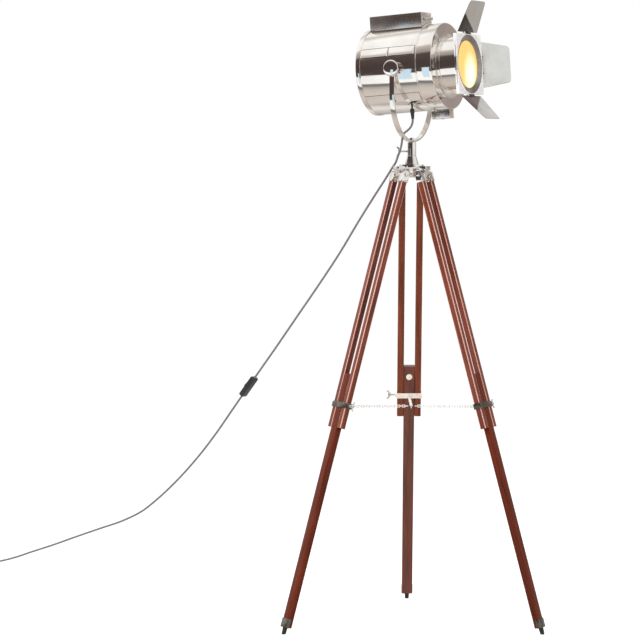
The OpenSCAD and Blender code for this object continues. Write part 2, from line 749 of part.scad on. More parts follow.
module lampholder()
    color("ivory") at_head() difference() {
        union() {
            bar(holder_r, rear_face + rear_wall - rear_dish, holder_front);
            bar(holder_r + 4, holder_front - 4, holder_front);
        }
        bar(bulb_cap_r + fit, holder_front - 20 - clear, holder_front + 1);
    }

// The vented box on the drum, open below where it sits on the drum's curve
module top_box()
    color(chrome) at_head() difference() {
        translate([-top_box_back, -top_box_w / 2, drum_r / 2])
            cube([top_box_l, top_box_w, top_box_z - drum_r / 2]);
        translate([box_wall - top_box_back, box_wall - top_box_w / 2, 0])
            cube([top_box_l - 2 * box_wall, top_box_w - 2 * box_wall, top_box_z - box_wall]);
        bar(drum_r + eps, -big, big);
        bar(cover_r + eps, -big, rear_lip - drum_back + eps);
        for (y = [-box_hole_y, box_hole_y]) translate([0, y, box_screw_z + 1]) bar(3, 0, big);
        translate([0, 0, box_screw_z]) bar(box_screw_r + eps, 0, big);
    }

module box_screws()
    color(pale_chrome) at_head() {
        front = top_box_l - top_box_back;
        translate([0, 0, box_screw_z]) {
            bar(box_screw_r, front - 6, front + 12);
            bar(screw_head_r, front + 12, front + 17);
            tube(screw_head_r, box_screw_r + eps, front, front + 2.5);
        }
        translate([drum_front - bottom_box_l / 2, 0, -bottom_box_z - 2]) cylinder(r = 3.4, h = 2);
    }

module bottom_box()
    color(chrome) at_head() difference() {
        translate([drum_front - bottom_box_l, -bottom_box_w / 2, -bottom_box_z])
            cube([bottom_box_l, bottom_box_w, bottom_box_z - drum_r / 2]);
        translate([box_wall, 0, box_wall])
            translate([drum_front - bottom_box_l, box_wall - bottom_box_w / 2, -bottom_box_z])
                cube([bottom_box_l - 2 * box_wall, bottom_box_w - 2 * box_wall, bottom_box_z]);
        bar(cover_r + eps, 0, big);
        bar(cover_r + bead_r + eps, 0, seam_x + bead_r + eps);
    }

// The lead's short stem out of the drum and the tapered strain relief on it
module gland()
    color(black) at_head() translate([gland_x, gland_y, gland_seat]) {
        z_rod(gland_wire_r, 3 - gland_wire_l, 4);
        rotate_extrude() polygon([
            [0, 3 - gland_wire_l - gland_l], [cord_d / 2 + 0.9, 3 - gland_wire_l - gland_l],
            [gland_r - 0.8, -gland_wire_l - 9], [gland_r, -gland_wire_l - 7], [gland_r, 1 - gland_wire_l],
            [gland_r - 1.5, 3 - gland_wire_l], [0, 3 - gland_wire_l]
        ]);
    }

// ---- Cord ----

function unit(v) = v / norm(v);

function along(p, i) = unit(i == 0 ? p[1] - p[0] : i == len(p) - 1 ? p[i] - p[i - 1]
    : unit(p[i + 1] - p[i]) + unit(p[i] - p[i - 1]));

// An eight-sided tube along one stretch of the route, each ring standing across it
module lead(first, last) {
    sides = 8;
    ring = [for (i = [first:last])
        let (t = along(cord_route, i), a = unit(cross(t, [0.19, 0.98, 0])), b = cross(t, a))
        for (k = [0:sides - 1]) let (w = 360 * (k + 0.5) / sides)
            cord_route[i] + cord_d / 2 * (cos(w) * a + sin(w) * b)];
    end = (last - first) * sides;
    color("#8c8a86") polyhedron(ring, concat(
        [[for (k = [0:sides - 1]) k]],
        [for (i = [0:sides:end - sides], k = [0:sides - 1]) let (m = (k + 1) % sides)
            [i + k, i + sides + k, i + sides + m, i + m]],
        [[for (k = [sides - 1:-1:0]) end + k]]), convexity = 6);
}

module cord_upper() lead(0, upper_rings);

module cord_lower() lead(upper_rings, lower_rings);

module cord_run() lead(lower_rings, len(cord_route) - 1);

module cord_coil()
    color("#8c8a86") translate(coil_centre) rotate_extrude()
        translate([coil_r - coil_band / 2, 0]) square([coil_band, coil_h]);

module at_switch() {
    d = unit(switch_step);
    translate(switch_at) rotate([0, 0, atan2(d[1], d[0])]) rotate([0, acos(d[2]), 0]) children();
}

module switch_body()
    color(black) at_switch() difference() {
        linear_extrude(switch_l, center = true) offset(switch_corner)
            square([switch_t - 2 * switch_corner, switch_w - 2 * switch_corner], center = true);
        translate([-switch_t / 2 - 3, -5, -8]) cube([6, 10, 16]);
    }

module switch_rocker()
    color([0.16, 0.16, 0.16]) at_switch() translate([-switch_t / 2 - 0.5, 0, 0]) rotate([0, -rocker_lean, 0])
        intersection() {
            y_rod(7.2, -4.7, 4.7);
            translate([-3, -5, -7.5]) cube([4.2, 10, 15]);
        }

// The two-pin plug lying flat by the coil
module plug()
    translate(plug_at) rotate([0, 0, plug_turn]) {
        color(black) hull() {
            translate([0, -plug_w / 2, 0]) cube([plug_base, plug_w, plug_t]);
            translate([-plug_l, -5, 2]) cube([1, 10, plug_t - 4]);
        }
        color(pale_chrome) for (s = [-1, 1]) translate([0, s * plug_pin_gap / 2, plug_t / 2])
            bar(plug_pin_r, plug_base, plug_base + plug_pin_l);
    }

upper_rails(0);  // upper_rails_fore
upper_rails(1);  // upper_rails_rear
upper_rails(2);  // upper_rails_side
ferrules(0);  // ferrules_fore
ferrules(1);  // ferrules_rear
ferrules(2);  // ferrules_side
collar(0);  // collar_fore
collar(1);  // collar_rear
collar(2);  // collar_side
wing_bolt(0);  // wing_bolt_fore
wing_bolt(1);  // wing_bolt_rear
wing_bolt(2);  // wing_bolt_side
lower_rail(0);  // lower_rail_fore
lower_rail(1);  // lower_rail_rear
lower_rail(2);  // lower_rail_side
rail_fittings(0);  // rail_fittings_fore
rail_fittings(1);  // rail_fittings_rear
rail_fittings(2);  // rail_fittings_side
foot_tip(0);  // foot_tip_fore
foot_tip(1);  // foot_tip_rear
foot_tip(2);  // foot_tip_side
chain(0);  // chain_fore
chain(1);  // chain_rear
chain(2);  // chain_side
hub();
hinge_bolts();
pan_socket();
pan_lock_screw();
yoke();
pan_spigot();
tilt_knob(1);  // tilt_knob_left
tilt_knob(-1);  // tilt_knob_right
trunnions();
drum();
rear_cover();
front_cover();
nose();
lens();
lens_ring();
reflector();
bulb();
lampholder();
top_box();
box_screws();
bottom_box();
leaf_frame();
leaf_pins();
leaf(0, top_open);  // leaf_top
leaf(2, bottom_open);  // leaf_bottom
leaf(3, left_open);  // leaf_left
leaf(1, right_open);  // leaf_right
gland();
cord_upper();
cord_lower();
cord_run();
cord_coil();
switch_body();
switch_rocker();
plug();
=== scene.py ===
import json
import math

import bmesh
import bpy
import numpy as np
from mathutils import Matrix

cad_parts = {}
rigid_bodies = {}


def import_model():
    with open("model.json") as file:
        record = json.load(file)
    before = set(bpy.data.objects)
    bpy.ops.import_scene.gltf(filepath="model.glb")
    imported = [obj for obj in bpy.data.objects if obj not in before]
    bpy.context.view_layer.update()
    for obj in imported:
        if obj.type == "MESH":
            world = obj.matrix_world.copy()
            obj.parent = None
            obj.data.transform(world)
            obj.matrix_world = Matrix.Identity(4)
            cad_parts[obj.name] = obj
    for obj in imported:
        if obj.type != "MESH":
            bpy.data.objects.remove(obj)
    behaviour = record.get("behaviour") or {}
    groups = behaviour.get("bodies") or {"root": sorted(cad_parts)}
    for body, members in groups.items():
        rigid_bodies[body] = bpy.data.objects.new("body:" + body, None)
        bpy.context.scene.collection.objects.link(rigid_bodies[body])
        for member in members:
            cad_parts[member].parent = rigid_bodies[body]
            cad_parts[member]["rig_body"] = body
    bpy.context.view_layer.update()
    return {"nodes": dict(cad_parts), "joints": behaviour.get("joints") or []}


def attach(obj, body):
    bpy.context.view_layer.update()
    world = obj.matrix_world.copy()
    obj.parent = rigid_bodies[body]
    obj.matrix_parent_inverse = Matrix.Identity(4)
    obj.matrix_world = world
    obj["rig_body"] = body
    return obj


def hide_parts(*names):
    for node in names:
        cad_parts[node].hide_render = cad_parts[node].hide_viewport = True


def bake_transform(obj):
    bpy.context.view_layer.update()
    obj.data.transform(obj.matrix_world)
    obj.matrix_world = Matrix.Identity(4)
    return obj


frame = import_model()
nodes = frame["nodes"]
joints = {joint["name"]: joint for joint in frame["joints"]}
scene = bpy.context.scene
mm = 0.001
legNames = ["fore", "rear", "side"]
print("frame loaded")


def placeAt(corner, x, y, z):
    return {"corner": np.array(corner, float), "axes": np.array([x, y, z], float).T}


# X outward, Y round the tripod, Z up the leg, from the hinge bolt's middle.
def legPlace(name):
    y = np.array(joints["fold_" + name]["axis"])
    z = np.array(joints["slide_" + name]["axis"])
    return placeAt(np.array(joints["fold_" + name]["pos_m"]) / mm, np.cross(y, z), y, z)


# Z away from the drum's axis, Y along the hinge pin, X forward, from the pin's middle.
def doorPlace(name):
    joint = joints["door_swing_" + name]
    y = np.array(joint["axis"])
    x = headPlace["axes"][:, 0]
    return placeAt(np.array(joint["pos_m"]) / mm, x, y, np.cross(x, y))


headUp = np.array(joints["door_swing_right"]["axis"])
tiltPoint = np.array(joints["tilt"]["pos_m"]) / mm
headPlace = placeAt(tiltPoint, np.cross([0, 1, 0], headUp), [0, 1, 0], headUp)
yokePlace = placeAt(tiltPoint, [1, 0, 0], [0, 1, 0], [0, 0, 1])
floorPlace = placeAt([0, 0, 0], [1, 0, 0], [0, 1, 0], [0, 0, 1])
legPlaces = {name: legPlace(name) for name in legNames}


def outOf(place, points):
    return place["corner"] + np.asarray(points, float) @ place["axes"].T


def into(place, points):
    return (np.asarray(points, float) - place["corner"]) @ place["axes"]


cameraSet = {"azimuth": 25.3, "distance": 7.0, "height": 1.2, "lens": 153.3, "turn": 1.925, "dip": 3.42,
             "sensor": 36, "clip": 60}


def makeCamera(s):
    data = bpy.data.cameras.new("camera")
    data.lens = s["lens"]
    data.sensor_width = s["sensor"]
    data.clip_end = s["clip"]
    camera = bpy.data.objects.new("camera", data)
    a = math.radians(s["azimuth"])
    camera.location = (s["distance"] * math.sin(a), -s["distance"] * math.cos(a), s["height"])
    camera.rotation_euler = (math.radians(90 - s["dip"]), 0, math.radians(s["azimuth"] + s["turn"]))
    scene.collection.objects.link(camera)
    scene.camera = camera


makeCamera(cameraSet)


# Quads between neighbouring rows and columns of a grid of points, wrapping where asked.
def gridFaces(rows, cols, closeRows=False, closeCols=False):
    i, j = np.meshgrid(np.arange(rows if closeRows else rows - 1), np.arange(cols if closeCols else cols - 1),
                       indexing="ij")
    nextRow, nextCol = (i + 1) % rows, (j + 1) % cols
    quads = [i * cols + j, i * cols + nextCol, nextRow * cols + nextCol, nextRow * cols + j]
    return np.stack(quads, -1).reshape(-1, 4).tolist()


# Several shapes as one: the later shapes' faces count on from the earlier shapes' points.
def merged(*shapes):
    points, faces, start = [], [], 0
    for pts, fcs in shapes:
        points.append(pts)
        faces += [[start + k for k in f] for f in fcs]
        start += len(pts)
    return np.concatenate(points), faces


def shifted(shape, by):
    return shape[0] + np.array(by, float), shape[1]


# The shape turned about one axis through the place's corner.
def turnedShape(shape, axis, degrees):
    a = math.radians(degrees)
    c, s = math.cos(a), math.sin(a)
    m = {"x": [[1, 0, 0], [0, c, -s], [0, s, c]], "y": [[c, 0, s], [0, 1, 0], [-s, 0, c]],
         "z": [[c, -s, 0], [s, c, 0], [0, 0, 1]]}[axis]
    return shape[0] @ np.array(m).T, shape[1]


# A corner becomes an arc: a quadratic curve from one cut point to the other, past the corner.
def rounded(points, radius, steps=4, closed=True):
    pts = [np.array(p, float) for p in points]
    radii = radius if isinstance(radius, (list, tuple)) else [radius] * len(pts)
    out = []
    for k, p in enumerate(pts):
        r = radii[k]
        if r <= 0 or (not closed and k in (0, len(pts) - 1)):
            out.append(p)
            continue
        a, b = pts[k - 1], pts[(k + 1) % len(pts)]
        la, lb = np.linalg.norm(a - p), np.linalg.norm(b - p)
        cut = min(r, la * 0.48, lb * 0.48)
        start, end = p + (a - p) / la * cut, p + (b - p) / lb * cut
        for t in np.linspace(0, 1, steps + 1):
            out.append((1 - t) ** 2 * start + 2 * t * (1 - t) * p + t * t * end)
    return np.array(out)


# A profile of (distance forward, radius) turned about X: y is radius times sine, z radius times cosine.
def revolve(profile, segments=128, closed=True, sweep=(0, 360)):
    profile = np.asarray(profile, float)
    whole = abs(sweep[1] - sweep[0]) >= 360
    angle = np.radians(np.linspace(sweep[0], sweep[1], segments, endpoint=not whole))
    x = np.repeat(profile[:, :1], segments, 1)
    y, z = profile[:, 1:2] * np.sin(angle), profile[:, 1:2] * np.cos(angle)
    points = np.stack([x, y, z], -1).reshape(-1, 3)
    faces = gridFaces(len(profile), segments, closeRows=closed, closeCols=whole)
    if not whole and closed:
        faces += [[i * segments + k for i in range(len(profile))] for k in (0, segments - 1)]
    return points, faces


# An outline in X and Y carried from low to high in Z; near both ends it draws in along its own normals by
# edge times one minus the sine of an angle, while the height follows the cosine, so that edges are round.
def prism(outline, low, high, edge=0.8, steps=3):
    outline = np.asarray(outline, float)
    ahead, behind = np.roll(outline, -1, 0) - outline, outline - np.roll(outline, 1, 0)
    tangent = ahead / (np.linalg.norm(ahead, axis=1)[:, None] + 1e-9) + behind / (
        np.linalg.norm(behind, axis=1)[:, None] + 1e-9)
    tangent /= np.linalg.norm(tangent, axis=1)[:, None]
    area = np.sum(outline[:, 0] * np.roll(outline[:, 1], -1) - outline[:, 1] * np.roll(outline[:, 0], -1))
    inward = np.stack([-tangent[:, 1], tangent[:, 0]], 1) * (1 if area > 0 else -1)
    t = np.radians(np.linspace(0, 90, steps + 1))
    draw = np.concatenate([edge * (1 - np.sin(t)), (edge * (1 - np.sin(t)))[::-1]])
    height = np.concatenate([low + edge * (1 - np.cos(t)), (high - edge * (1 - np.cos(t)))[::-1]])
    rings = outline[None] + inward[None] * draw[:, None, None]
    points = np.concatenate([rings, np.repeat(height[:, None, None], len(outline), 1)], -1).reshape(-1, 3)
    count = len(outline)
    faces = gridFaces(len(draw), count, closeCols=True)
    last = (len(draw) - 1) * count
    return points, faces + [list(range(count))[::-1], list(range(last, last + count))]


# An upright rectangle about the origin, from half its width and half its height, with round corners.
def oblong(x, y, corner):
    return rounded([(-x, -y), (x, -y), (x, y), (-x, y)], corner, 4)


def arcPoints(centre, radius, start, end, steps):
    a = np.radians(np.linspace(start, end, steps))
    return np.stack([centre[0] + radius * np.cos(a), centre[1] + radius * np.sin(a)], 1)


# A section carried along a path: at each point it stands across the path, its first axis turned from a
# fixed sideways direction and its second axis across both.
def carried(path, section, closed=False, side=(0, 0, 1), capped=True):
    path, section = np.asarray(path, float), np.asarray(section, float)
    if closed:
        along = np.roll(path, -1, 0) - np.roll(path, 1, 0)
    else:
        along = np.gradient(path, axis=0)
    along /= np.linalg.norm(along, axis=1)[:, None]
    first = np.cross(along, np.broadcast_to(np.array(side, float), path.shape))
    first /= np.linalg.norm(first, axis=1)[:, None]
    second = np.cross(along, first)
    points = path[:, None] + section[None, :, :1] * first[:, None] + section[None, :, 1:] * second[:, None]
    count = len(section)
    faces = gridFaces(len(path), count, closeRows=closed, closeCols=True)
    if not closed and capped:
        last = (len(path) - 1) * count
        faces += [list(range(count)), list(range(last, last + count))[::-1]]
    return points.reshape(-1, 3), faces


# A round bar along an axis, its end edges eased.
def rod(radius, low, high, axis="y", edge=0.4, segments=32):
    profile = rounded([(low, 0), (low, radius), (high, radius), (high, 0)], [0, edge, edge, 0], 3)
    shape = revolve(profile, segments, closed=False)
    if axis == "x":
        return shape
    return turnedShape(shape, "z", 90) if axis == "y" else turnedShape(shape, "y", -90)


# Doubles merged, faces turned outwards, smooth but for edges over the angle, and the place's own
# coordinates kept on each point for the materials.
def finishMesh(mesh, place, angle):
    bm = bmesh.new()
    bm.from_mesh(mesh)
    bmesh.ops.remove_doubles(bm, verts=bm.verts, dist=1e-6)
    bmesh.ops.dissolve_degenerate(bm, edges=bm.edges, dist=1e-7)
    bmesh.ops.recalc_face_normals(bm, faces=bm.faces)
    bm.to_mesh(mesh)
    bm.free()
    mesh.polygons.foreach_set("use_smooth", np.ones(len(mesh.polygons), bool))
    mesh.set_sharp_from_angle(angle=math.radians(angle))
    points = np.zeros(len(mesh.vertices) * 3, np.float32)
    mesh.vertices.foreach_get("co", points)
    own = into(place, points.reshape(-1, 3) / mm) * mm
    layer = mesh.attributes.new("place", "FLOAT_VECTOR", "POINT")
    layer.data.foreach_set("vector", own.astype(np.float32).ravel())


def addPiece(name, shape, place, body, material, stands=(), angle=40):
    mesh = bpy.data.meshes.new(name)
    mesh.from_pydata((outOf(place, shape[0]) * mm).tolist(), [], shape[1])
    finishMesh(mesh, place, angle)
    return settle(name, mesh, body, material, stands)


def settle(name, mesh, body, material, stands):
    piece = bpy.data.objects.new(name, mesh)
    scene.collection.objects.link(piece)
    mesh.materials.append(material)
    if body:
        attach(piece, body)
    if stands:
        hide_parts(*stands)
    return piece


def bodyOf(node):
    return nodes[node]["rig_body"]


# A copy of a solid with its sharp edges rounded.
def eased(node, edge, material, place=None, name=None, angle=30, segments=2):
    mesh = nodes[node].data.copy()
    mesh.materials.clear()
    bm = bmesh.new()
    bm.from_mesh(mesh)
    bmesh.ops.remove_doubles(bm, verts=bm.verts, dist=2e-6)
    bmesh.ops.dissolve_limit(bm, angle_limit=math.radians(0.6), verts=bm.verts, edges=bm.edges)
    if edge > 0:
        hard = [e for e in bm.edges if len(e.link_faces) == 2 and e.calc_face_angle(0) > math.radians(angle)]
        bmesh.ops.bevel(bm, geom=hard, offset=edge * mm, offset_type="OFFSET", segments=segments, profile=0.5,
                        affect="EDGES", clamp_overlap=True, harden_normals=False)
    bm.to_mesh(mesh)
    bm.free()
    finishMesh(mesh, place or floorPlace, 45)
    return settle(name or camel(node), mesh, bodyOf(node), material, [node])


def camel(node):
    first, *rest = node.split("_")
    return first + "".join(word.capitalize() for word in rest)


def groupStart(name, inputs, outputs):
    group = bpy.data.node_groups.new(name, "ShaderNodeTree")
    for label, kind, default in inputs:
        socket = group.interface.new_socket(label, in_out="INPUT", socket_type="NodeSocket" + kind)
        if default is not None:
            socket.default_value = default
    for label, kind in outputs:
        group.interface.new_socket(label, in_out="OUTPUT", socket_type="NodeSocket" + kind)
    return group, group.nodes.new("NodeGroupInput"), group.nodes.new("NodeGroupOutput")


# Each input is a value, or another node's socket, which is linked.
def feed(tree, node, inputs):
    for key, value in inputs.items():
        if isinstance(value, bpy.types.NodeSocket):
            tree.links.new(value, node.inputs[key])
        else:
            node.inputs[key].default_value = value


# A shader node with its properties and inputs set.
def addNode(tree, kind, inputs=None, **properties):
    node = tree.nodes.new("ShaderNode" + kind)
    for key, value in properties.items():
        setattr(node, key, value)
    feed(tree, node, inputs or {})
    return node


def mathNode(tree, operation, *values):
    return addNode(tree, "Math", dict(enumerate(values)), operation=operation).outputs[0]


def plus(tree, a, b):
    return mathNode(tree, "ADD", a, b)


def minus(tree, a, b):
    return mathNode(tree, "SUBTRACT", a, b)


def times(tree, a, b):
    return mathNode(tree, "MULTIPLY", a, b)


def ramp(tree, factor, stops):
    node = addNode(tree, "ValToRGB", {0: factor})
    elements = node.color_ramp.elements
    while len(elements) < len(stops):
        elements.new(0.5)
    for element, (position, colour) in zip(elements, stops):
        element.position = position
        element.color = (*colour, 1)
    return node.outputs[0]


def smoothStep(tree, value, start, end):
    return addNode(tree, "MapRange", {"Value": value, "From Min": start, "From Max": end},
                   interpolation_type="SMOOTHSTEP").outputs["Result"]


def mixColour(tree, factor, a, b):
    first, second = [(*value, 1) if isinstance(value, tuple) else value for value in (a, b)]
    return addNode(tree, "Mix", {0: factor, 6: first, 7: second}, data_type="RGBA").outputs[2]


def separate(tree, vector):
    return addNode(tree, "SeparateXYZ", {"Vector": vector}).outputs


def stretched(tree, vector, scale):
    return addNode(tree, "Mapping", {"Vector": vector, "Scale": scale}, vector_type="POINT").outputs[0]


def noise(tree, vector, scale, detail=4.0, rough=0.55):
    inputs = {"Vector": vector, "Scale": scale, "Detail": detail, "Roughness": rough}
    return addNode(tree, "TexNoise", inputs).outputs[0]


# Long streaks along Z: noise on coordinates squeezed along the board, a darker pore layer over it.
def woodGrainGroup():
    group, given, out = groupStart("woodGrain", [
        ("Place", "Vector", None), ("Pale", "Color", (0.4, 0.12, 0.06, 1)),
        ("Dark", "Color", (0.1, 0.03, 0.02, 1)), ("Pores", "Float", 0.5)],
        [("Color", "Color"), ("Height", "Float"), ("Rough", "Float")])
    place, pale, dark, depth = [given.outputs[key] for key in ("Place", "Pale", "Dark", "Pores")]
    wide = noise(group, stretched(group, place, (26, 26, 1.6)), 4.0, 5.0, 0.6)
    fine = noise(group, stretched(group, place, (120, 120, 3.0)), 6.0, 3.0, 0.6)
    pores = noise(group, stretched(group, place, (420, 420, 12)), 5.0, 2.0, 0.5)
    streak = plus(group, times(group, wide, 0.65), times(group, fine, 0.35))
    spread = ramp(group, streak, [(0.36, (0, 0, 0)), (0.66, (1, 1, 1))])
    body = mixColour(group, spread, dark, pale)
    pit = ramp(group, pores, [(0.30, (1, 1, 1)), (0.44, (0, 0, 0))])
    shade = times(group, pit, depth)
    feed(group, out, {"Color": mixColour(group, shade, body, dark), "Rough": times(group, pit, 0.12),
                      "Height": minus(group, streak, times(group, shade, 0.5))})
    return group


# Cloudy wipe marks and a few thin scratches; a mask that says how dull the polish is.
def handledGroup():
    group, given, out = groupStart("handled", [
        ("Place", "Vector", None), ("Size", "Float", 20.0), ("Scratches", "Float", 0.4)],
        [("Dull", "Float"), ("Height", "Float")])
    place = given.outputs["Place"]
    cloud = noise(group, place, given.outputs["Size"], 5.0, 0.62)
    cloudMask = ramp(group, cloud, [(0.42, (0, 0, 0)), (0.72, (1, 1, 1))])
    line = noise(group, stretched(group, place, (900, 60, 60)), 1.0, 2.0, 0.5)
    lineMask = ramp(group, line, [(0.62, (0, 0, 0)), (0.70, (1, 1, 1))])
    scratch = times(group, lineMask, given.outputs["Scratches"])
    feed(group, out, {"Dull": mathNode(group, "MAXIMUM", cloudMask, scratch),
                      "Height": minus(group, 0.5, times(group, scratch, 0.5))})
    return group


# Broad shallow unevenness of rolled or cast metal, which makes reflections waver.
def sheetWaveGroup():
    group, given, out = groupStart("sheetWave", [("Place", "Vector", None), ("Size", "Float", 8.0)],
                                   [("Height", "Float")])
    feed(group, out, {"Height": noise(group, given.outputs["Place"], given.outputs["Size"], 2.0, 0.4)})
    return group


# Fine even grain of moulded plastic or rubber with faint wear in the tone.
def mouldedGroup():
    group, given, out = groupStart("moulded", [("Place", "Vector", None), ("Grain", "Float", 900.0)],
                                   [("Tone", "Float"), ("Height", "Float")])
    place = given.outputs["Place"]
    feed(group, out, {"Height": noise(group, place, given.outputs["Grain"], 2.0, 0.6),
                      "Tone": noise(group, place, 45.0, 4.0, 0.6)})
    return group


groups = {"woodGrain": woodGrainGroup(), "handled": handledGroup(), "sheetWave": sheetWaveGroup(),
          "moulded": mouldedGroup()}


def newMaterial(name):
    material = bpy.data.materials.new(name)
    material.use_nodes = True
    return material, material.node_tree


def startMaterial(name):
    material, tree = newMaterial(name)
    place = addNode(tree, "Attribute", attribute_name="place").outputs["Vector"]
    return material, tree, tree.nodes["Principled BSDF"], place


def useGroup(tree, name, inputs):
    return addNode(tree, "Group", inputs, node_tree=groups[name]).outputs


def bumpInto(tree, shader, height, distance, strength=1.0):
    bump = addNode(tree, "Bump", {"Height": height, "Distance": distance, "Strength": strength})
    feed(tree, shader, {"Normal": bump.outputs[0]})


# Plated metal: a mirror with wipe marks, a faint tint where it is dull and slight waves in the sheet. What a
# metallic share under 1 leaves is plain paint.
def polished(name, colour, duller, rough=0.05, dull=0.16, size=20.0, scratches=0.3, wave=8.0,
             waveHeight=0.00012, metallic=1):
    material, tree, shader, place = startMaterial(name)
    dullness = useGroup(tree, "handled", {"Place": place, "Size": size, "Scratches": scratches})["Dull"]
    waves = useGroup(tree, "sheetWave", {"Place": place, "Size": wave})
    shader.inputs["Metallic"].default_value = metallic
    feed(tree, shader, {"Base Color": mixColour(tree, dullness, colour, duller),
                        "Roughness": plus(tree, times(tree, dullness, dull), rough)})
    bumpInto(tree, shader, waves["Height"], waveHeight)
    return material


# Stained wood under clear gloss varnish; an edge, where given, is a painted highlight, pale past x and past y
# from its middle.
def varnished(name, pale, dark, coat, gloss, edge=None, pores=0.55, coatRough=0.08):
    material, tree, shader, place = startMaterial(name)
    grain = useGroup(tree, "woodGrain", {"Place": place, "Pale": (*pale, 1), "Dark": (*dark, 1),
                                         "Pores": pores})
    marks = useGroup(tree, "handled", {"Place": place, "Size": 14.0, "Scratches": 0.2})
    colour = grain["Color"]
    # Painted highlight: the colour turns pale on the board's chamfered corners.
    if edge:
        parts = separate(tree, place)
        x, aside = [mathNode(tree, "ABSOLUTE", part) for part in (parts[0], parts[1])]
        y = mathNode(tree, "ABSOLUTE", minus(tree, aside, edge["middle"]))
        corner = times(tree, mathNode(tree, "GREATER_THAN", x, edge["x"]),
                       mathNode(tree, "GREATER_THAN", y, edge["y"]))
        colour = mixColour(tree, times(tree, corner, edge["share"]), colour, edge["colour"])
    rough = plus(tree, grain["Rough"], 0.28)
    feed(tree, shader, {"Base Color": colour,
                        "Roughness": plus(tree, rough, times(tree, marks["Dull"], 0.08))})
    shader.inputs["Specular IOR Level"].default_value = gloss
    shader.inputs["Coat Weight"].default_value = coat
    shader.inputs["Coat Roughness"].default_value = coatRough
    bumpInto(tree, shader, grain["Height"], 0.0001, 0.5)
    return material


def mouldedMaterial(name, colour, worn, rough=0.45, grain=900.0, height=0.00003):
    material, tree, shader, place = startMaterial(name)
    skin = useGroup(tree, "moulded", {"Place": place, "Grain": grain})
    feed(tree, shader, {"Base Color": mixColour(tree, skin["Tone"], colour, worn),
                        "Roughness": plus(tree, times(tree, skin["Tone"], 0.2), rough)})
    bumpInto(tree, shader, skin["Height"], height)
    return material


# The lens's painted glow: its radius, its colours and the place of its painted hot spot.
paintedLensGlow = {"radius": 0.062, "amber": (0.92, 0.56, 0.155), "pale": (1.0, 0.80, 0.44),
            "hot": (1.0, 0.99, 0.93), "hotY": 0.012, "hotZ": -0.025, "strength": 0.94}


# Painted glow: frosted glass that gives off light of its own, with no lit bulb behind it; the glow runs from
# amber above to a nearly white painted hot spot low down, where the bulb shines through.
def paintedGlowGlass(s):
    material, tree, shader, place = startMaterial("paintedGlowGlass")
    parts = separate(tree, place)
    y, z = minus(tree, parts[1], s["hotY"]), minus(tree, parts[2], s["hotZ"])
    reach = mathNode(tree, "SQRT", plus(tree, times(tree, y, times(tree, y, 1.6)), times(tree, z, z)))
    share = mathNode(tree, "DIVIDE", reach, s["radius"])
    frost = noise(tree, place, 120.0, 3.0, 0.6)
    share = plus(tree, share, times(tree, minus(tree, frost, 0.5), 0.12))
    glow = ramp(tree, share, [(0.16, s["hot"]), (0.62, s["pale"]), (1.0, s["amber"])])
    feed(tree, shader, {"Emission Color": glow,
                        "Base Color": mixColour(tree, 0.75, glow, (0.05, 0.03, 0.02))})
    shader.inputs["Emission Strength"].default_value = s["strength"]
    shader.inputs["Roughness"].default_value = 0.35
    bumpInto(tree, shader, frost, 0.00008)
    return material


# The hinge's length, how far the edge of the painted dark reflection wavers and how soft that edge is, in
# metres.
darkReflectionSet = {"hinge": 0.118, "uneven": 0.006, "soft": 0.0015}


# Steel with a painted dark reflection: a dark patch, deepest along the near edge, that runs out to nothing at
# the far end of the hinge. The place's X and Z give the distance from the hinge pin, Y the place along it.
def paintedReflectionSteel(name, colour, reflectedDark, reach, side, rough=0.14):
    material = polished(name, colour, tuple(0.9 * c for c in colour), rough, 0.10, 14.0, 0.4, 5.0, 0.00005)
    tree = material.node_tree
    shader = tree.nodes["Principled BSDF"]
    place = next(n for n in tree.nodes if n.type == "ATTRIBUTE").outputs["Vector"]
    x, y, z = separate(tree, place)
    out = mathNode(tree, "SQRT", plus(tree, times(tree, x, x), times(tree, z, z)))
    share = plus(tree, times(tree, y, side / darkReflectionSet["hinge"]), 0.5)
    limit = times(tree, minus(tree, 1.0, share), reach)
    uneven = times(tree, minus(tree, noise(tree, place, 60.0), 0.5), darkReflectionSet["uneven"])
    soft = darkReflectionSet["soft"]
    inside = smoothStep(tree, minus(tree, plus(tree, limit, uneven), out), -soft, soft)
    clean = shader.inputs["Base Color"].links[0].from_socket
    feed(tree, shader, {"Base Color": mixColour(tree, inside, clean, reflectedDark)})
    return material


chromeTone, chromeDull = (0.90, 0.88, 0.86), (0.78, 0.75, 0.72)
headTone, headDull = (0.93, 0.91, 0.885), (0.80, 0.765, 0.73)
legChrome = polished("legChrome", chromeTone, chromeDull, 0.06, 0.14, 30.0)
headChrome = polished("headChrome", headTone, headDull, 0.045, 0.10, 9.0, 0.3, 5.0, 0.00010)
boxChrome = polished("boxChrome", (0.88, 0.84, 0.80), headDull, 0.24, 0.14, 11.0, 0.35, 14.0, 0.00008)
screwChrome = polished("screwChrome", chromeTone, chromeDull, 0.08, 0.12, 60.0)
leafSteel = polished("leafSteel", (0.80, 0.79, 0.775), (0.72, 0.70, 0.68), 0.14, 0.10, 14.0, 0.4, 5.0,
                     0.00005)
